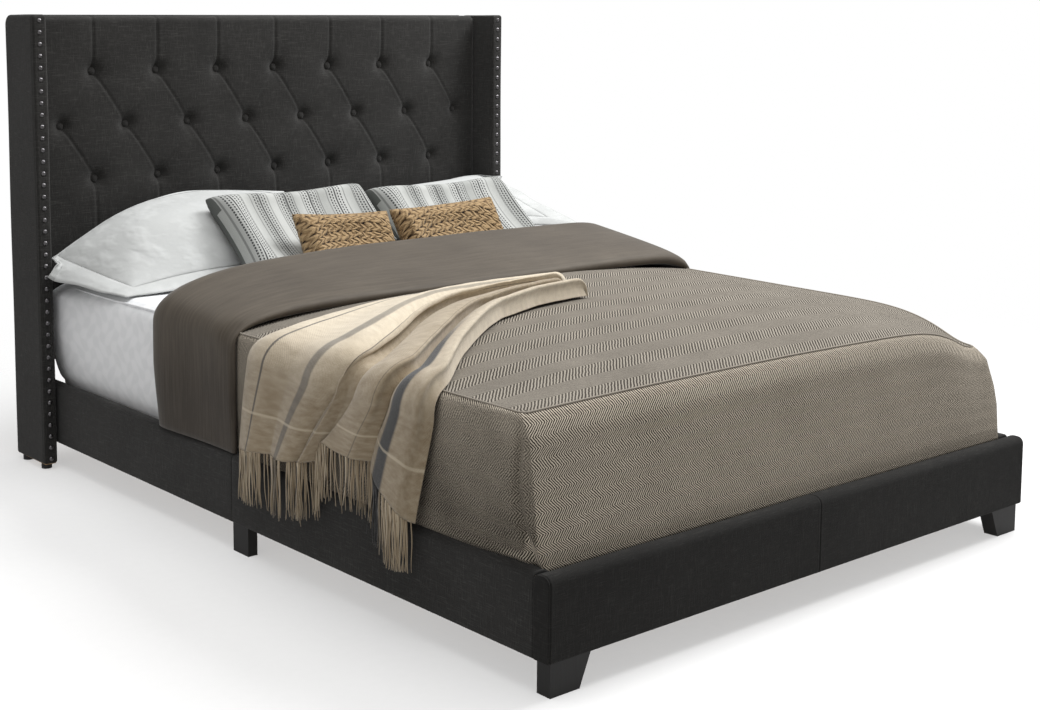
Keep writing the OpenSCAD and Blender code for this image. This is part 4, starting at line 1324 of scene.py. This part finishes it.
def braid(name, dark, middle, light):
    """Chunky plaits in curved rows: two rows of slanting lobes to a plait; as painted shade, the colour is
    lighter on the lobes and darkest in the gaps.
    """
    jute = Finish(name, Sheen_Weight=0.1, Specular_IOR_Level=0.2)
    u, v, _ = jute.split(jute.cloth())
    wander = jute.noise(jute.cloth(), 15, 2.0, 0.5)
    fibre = jute.noise(jute.cloth(), 260, 3.0, 0.7)
    clump = jute.noise(jute.cloth(), 42, 3.0, 0.6)
    rows = v + (wander - 0.5) * 0.045 - u * u * 1.6
    lane = (rows / 0.025).fract()
    lean = abs(lane - 0.5) * 2
    lobe = ((u / 0.024 + lean * 0.8 + (clump - 0.5) * 1.5) * 2 * math.pi).sin() * 0.5 + 0.5
    edge = 1 - lean.between(0.72, 1.0) * 0.8
    height = lobe * 0.6 + edge * 0.4
    # Painted shade: the colour follows the plaits' relief, lighter where it is high and dark in the gaps.
    colour = jute.mix((height * 0.55 + fibre * 0.5 - 0.02).between(0.12, 0.85), middle, light)
    gap_shade = (1 - (height + (clump - 0.5) * 1.5).between(0.24, 0.52)) * clump.between(0.28, 0.50)
    colour = jute.mix(gap_shade, colour, dark)
    return jute.finish(colour, rough=0.92, height=height * 1.6 + fibre * 0.7, depth=0.005, strength=0.8)


def crumpled(name, dark, light):
    """Washed white linen: soft wrinkles of two sizes under a fine weave, with painted shade along the
    wrinkles' creases.
    """
    linen = Finish(name, Sheen_Weight=0.1, Specular_IOR_Level=0.25)
    fold = abs(linen.noise(linen.place((7, 7, 12)), 1.0, 3.0, 0.55) - 0.5) * 2
    small = abs(linen.noise(linen.place((26, 26, 34)), 1.0, 2.0, 0.5) - 0.5) * 2
    weave = linen.noise(linen.place(), 620, 2.0, 0.6)
    # Painted shade: the colour is darker along the creases of the larger wrinkles.
    colour = linen.mix(fold.between(0, 0.35) * 0.4 + weave * 0.5, dark, light)
    return linen.finish(colour, rough=0.85, height=fold.between(0, 0.5) * 4 + small * 0.4 + weave * 0.25,
                        depth=0.0018, strength=0.4)


DASHED = dashes("dashed_cotton", tone(150, 152, 149), tone(192, 194, 191), tone(30, 31, 34))
JUTE = braid("braided_jute", tone(30, 20, 12), tone(118, 92, 63), tone(172, 146, 110))
WHITE_LINEN = crumpled("white_linen", tone(182, 184, 183), tone(204, 206, 205))
CUSHION_BACK = grainy("cushion_back", tone(66, 68, 66), tone(104, 107, 104), 0.0018, 0.9)


# %% Cushions
def tilted(node, turn, dz):
    """Middle surface of a cushion where its CAD solid leans; turn rolls it, dz raises it."""
    low, high = (np.array(c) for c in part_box(node))
    length, thick, tilt = SPECS[node]
    tilt = math.radians(tilt)
    width = high[0] - low[0]
    centre = (low + high) / 2 + np.array([0, 0, dz])
    up = np.array([0, math.cos(tilt), math.sin(tilt)])

    def place(u, v):
        a = u * width / 2 * math.cos(turn) - v * length / 2 * math.sin(turn)
        b = u * width / 2 * math.sin(turn) + v * length / 2 * math.cos(turn)
        return centre + a[:, None] * [1, 0, 0] + b[:, None] * up

    return place, width, length, thick


SPECS = {                                # length up the slope, thickness, slope in degrees
    "cushion_striped_left": (0.344, 0.105, 40.5),
    "cushion_striped_right": (0.344, 0.105, 40.5),
    "cushion_tan_left": (0.206, 0.085, 60.0),
    "cushion_tan_right": (0.206, 0.085, 60.0),
}


def make_cushion(node, body, finish, slot, back=None, turn=0.0, dz=0.0):
    """A bag blown up flat, then laid on the tilted plane of its CAD solid."""
    place, width, length, thick = tilted(node, turn, dz)
    bag = flat_bag(node.replace("cushion_", "cushion_soft_"), width, length,
                   round(width / 0.011), round(length / 0.011), pull=0.05)
    local = stuff(bag, thick)
    normals = np.zeros(len(bag.data.polygons) * 3)
    bag.data.polygons.foreach_get("normal", normals)
    bag.data.materials.append(finish)
    if back is not None:
        bag.data.materials.append(back)
        middles = np.zeros(len(bag.data.polygons) * 3)
        bag.data.polygons.foreach_get("center", middles)
        outer = middles.reshape(-1, 3)[:, 0] < -0.475 * width
        behind = ((normals.reshape(-1, 3)[:, 2] < 0) | outer).astype(np.int32)
        bag.data.polygons.foreach_set("material_index", behind)
    lay(bag, local, place)
    dress(bag, body, slot, node, fill=0.75)


make_cushion("cushion_striped_left", "striped_left_set", DASHED, "dashed_cotton", CUSHION_BACK,
             turn=0.01, dz=-0.006)
make_cushion("cushion_striped_right", "striped_right_set", DASHED, "dashed_cotton", CUSHION_BACK,
             turn=0.01, dz=-0.020)
make_cushion("cushion_tan_left", "tan_left_set", JUTE, "braided_jute", turn=-0.05)
make_cushion("cushion_tan_right", "tan_right_set", JUTE, "braided_jute", turn=0.03)


# %% [markdown]
# ## Shams
# The two big pillows lie with their outer ends flat on the sheet and lean on the headboard in
# the middle. Their covers have a flat flange all round, sewn where the stuffing ends.

# %% Sham
SHAM_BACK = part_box("sham_left")[1][1]
SHAM_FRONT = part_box("sham_left")[0][1]
SHAM_SIZE, FLANGE = (0.80, 0.44), 0.050
BAG_SHIFT, BAG_SHARE = 0.10, 0.88         # the stuffing sits towards the headboard
NAIL_LINE, BESIDE_NAILS = 0.810, 0.900    # past this x the flange stays in front of this y
RIDGE_PLACES = [0, 0.05, 0.15, 0.33, 0.57, 0.82, 1.0]
RIDGES = {-1: [0.030, 0.060, 0.110, 0.190, 0.222, 0.210, 0.190],
          1: [0.215, 0.228, 0.222, 0.198, 0.190, 0.190, 0.190]}
SLOPES = {-1: (0.10, 0.95), 1: (0.43, 0.50)}    # height at the front, growth to the back
TUCKS = {-1: 0.5, 1: 0.0}                # how much flatter the outer end lies
SLUMPS = {-1: 0.0, 1: 0.205}             # how far the outer end's front slides forward


def sham_place(side, inner, outer):
    """Middle surface of a sham: it lies down at its outer end and leans on the headboard.

    e runs from 0 at the outer end to 1 at the inner one, f from 0 at the front to 1 at the back.
    """
    def place(u, v):
        e = (1 + u * -side) / 2
        f = (1 + v) / 2
        near = [np.interp(e + shift, RIDGE_PLACES, RIDGES[side]) for shift in (-0.08, -0.04, 0, 0.04, 0.08)]
        rise = sum(near) / len(near)
        rise = rise * (1 - TUCKS[side] * bell(e, 0.02))
        x = side * (outer + (inner - outer) * e) + side * (0.09 * (f - 0.6) * bell(e, 0.35))
        slump = SLUMPS[side] * bell(e, 0.11) * (1 - f)
        y = SHAM_FRONT + 0.004 + (SHAM_BACK - SHAM_FRONT - 0.016) * f - slump
        z = sheet_high[2] + 0.010 + rise * (SLOPES[side][0] + SLOPES[side][1] * f.clip(0, 1.2) ** 1.1)
        return np.stack([x, y, z], -1)
    return place


def rest_on_sheet(bag):
    """Flattens what would sink into the sheet or into the headboard."""
    points = np.zeros(len(bag.data.vertices) * 3)
    bag.data.vertices.foreach_get("co", points)
    points = points.reshape(-1, 3)
    points[:, 2] = np.maximum(points[:, 2], sheet_high[2] + 2 * MM)
    points[:, 1] = np.minimum(points[:, 1], panel_low[1] - 12 * MM)
    bag.data.vertices.foreach_set("co", points.ravel())


def make_sham(side_name, seed):
    """A stuffed bag on the curved middle surface, with a flat flange grown outwards from its seam."""
    side = -1 if side_name == "left" else 1
    node = f"sham_{side_name}"
    width, length = SHAM_SIZE
    inner_w, inner_l = width - 2 * FLANGE, length - 2 * FLANGE
    place = sham_place(side, 0.012, 0.815)
    share = np.array([inner_w / width, inner_l / length])
    bag = flat_bag(f"sham_soft_{side_name}", inner_w, inner_l, 62, 34, pull=0.0)

    def seam(rest):
        return (np.abs(rest[:, 0]) > inner_w / 2 - 1e-4) | (np.abs(rest[:, 1]) > inner_l / 2 - 1e-4)

    local = stuff(bag, 0.165, hold=seam)
    inward = (1 - side * local[:, 0] / inner_w * 2) / 2
    local[:, 2] *= 1 - 0.35 * inward.clip(0, 1) ** 2
    bag.data.materials.append(WHITE_LINEN)
    lay(bag, local, lambda u, v: place(u * share[0], BAG_SHIFT + v * BAG_SHARE))
    rest_on_sheet(bag)
    dress(bag, f"sham_{side_name}_set", "white_linen", node, fill=0.6)
    turns = np.array([[-1, -1], [1, -1], [1, 1], [-1, 1], [-1, -1]])
    around = np.concatenate([np.linspace(start, end, steps)[:-1]
                             for start, end, steps in zip(turns, turns[1:], (70, 40, 70, 40))])
    grow = np.linspace(0, 1, 7)
    inner = np.array([share[0], BAG_SHARE]) * 0.985
    uv = around[None] * (inner + (1 - inner) * grow[:, None])[:, None]
    uv[..., 1] += BAG_SHIFT * (1 - grow[:, None])
    flat = place(uv[..., 0].ravel(), uv[..., 1].ravel()).reshape(uv.shape[:2] + (3,))
    droop = grow[:, None] ** 1.5
    flat[..., 2] -= 10 * MM * droop * (0.4 + 0.6 * bell(uv[..., 1] + 1, 0.5))
    flat[..., 2] += 5 * MM * waves(flat * np.array([1, 1, 0.2]), 0.22, seed) * droop
    flat[..., 2] = np.maximum(flat[..., 2], sheet_high[2] + 3 * MM)
    beside = np.abs(flat[..., 0]) > NAIL_LINE
    flat[..., 1] = np.where(beside, np.minimum(flat[..., 1], BESIDE_NAILS), flat[..., 1])
    flat[..., 1] = np.minimum(flat[..., 1], panel_low[1] - 8 * MM)
    edge = mesh_piece(f"sham_flange_{side_name}", flat, wrap=(False, True), finish=WHITE_LINEN)
    shell = edge.modifiers.new("two_layers", "SOLIDIFY")
    shell.thickness, shell.offset = 3 * MM, 0
    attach(edge, f"sham_{side_name}_set")


make_sham("left", 81)
make_sham("right", 82)
print("the bed is made")


# %% [markdown]
# ## Floor
# A plain pale floor catches a soft shadow and is not part of the bed.

# %% Floor
def fading_floor(name, near, far):
    """Pale matt floor that fades out between two distances from the bed's middle."""
    paint = Finish(name, Specular_IOR_Level=0.1)
    x, y, _ = paint.split(paint.place())
    away = (x * x + y * y) ** 0.5
    grain = paint.noise(paint.place(), 40, 2.0, 0.5)
    colour = paint.mix(grain, tone(247, 247, 247), tone(251, 251, 251))
    return paint.finish(colour, rough=0.9, alpha=0.55 * (1 - away.between(near, far)))


corners = np.array([[[-1, -1, 0], [-1, 1, 0]], [[1, -1, 0], [1, 1, 0]]]) * 4.0
floor = mesh_piece("studio_floor", corners, finish=fading_floor("studio_floor", 1.0, 3.4))
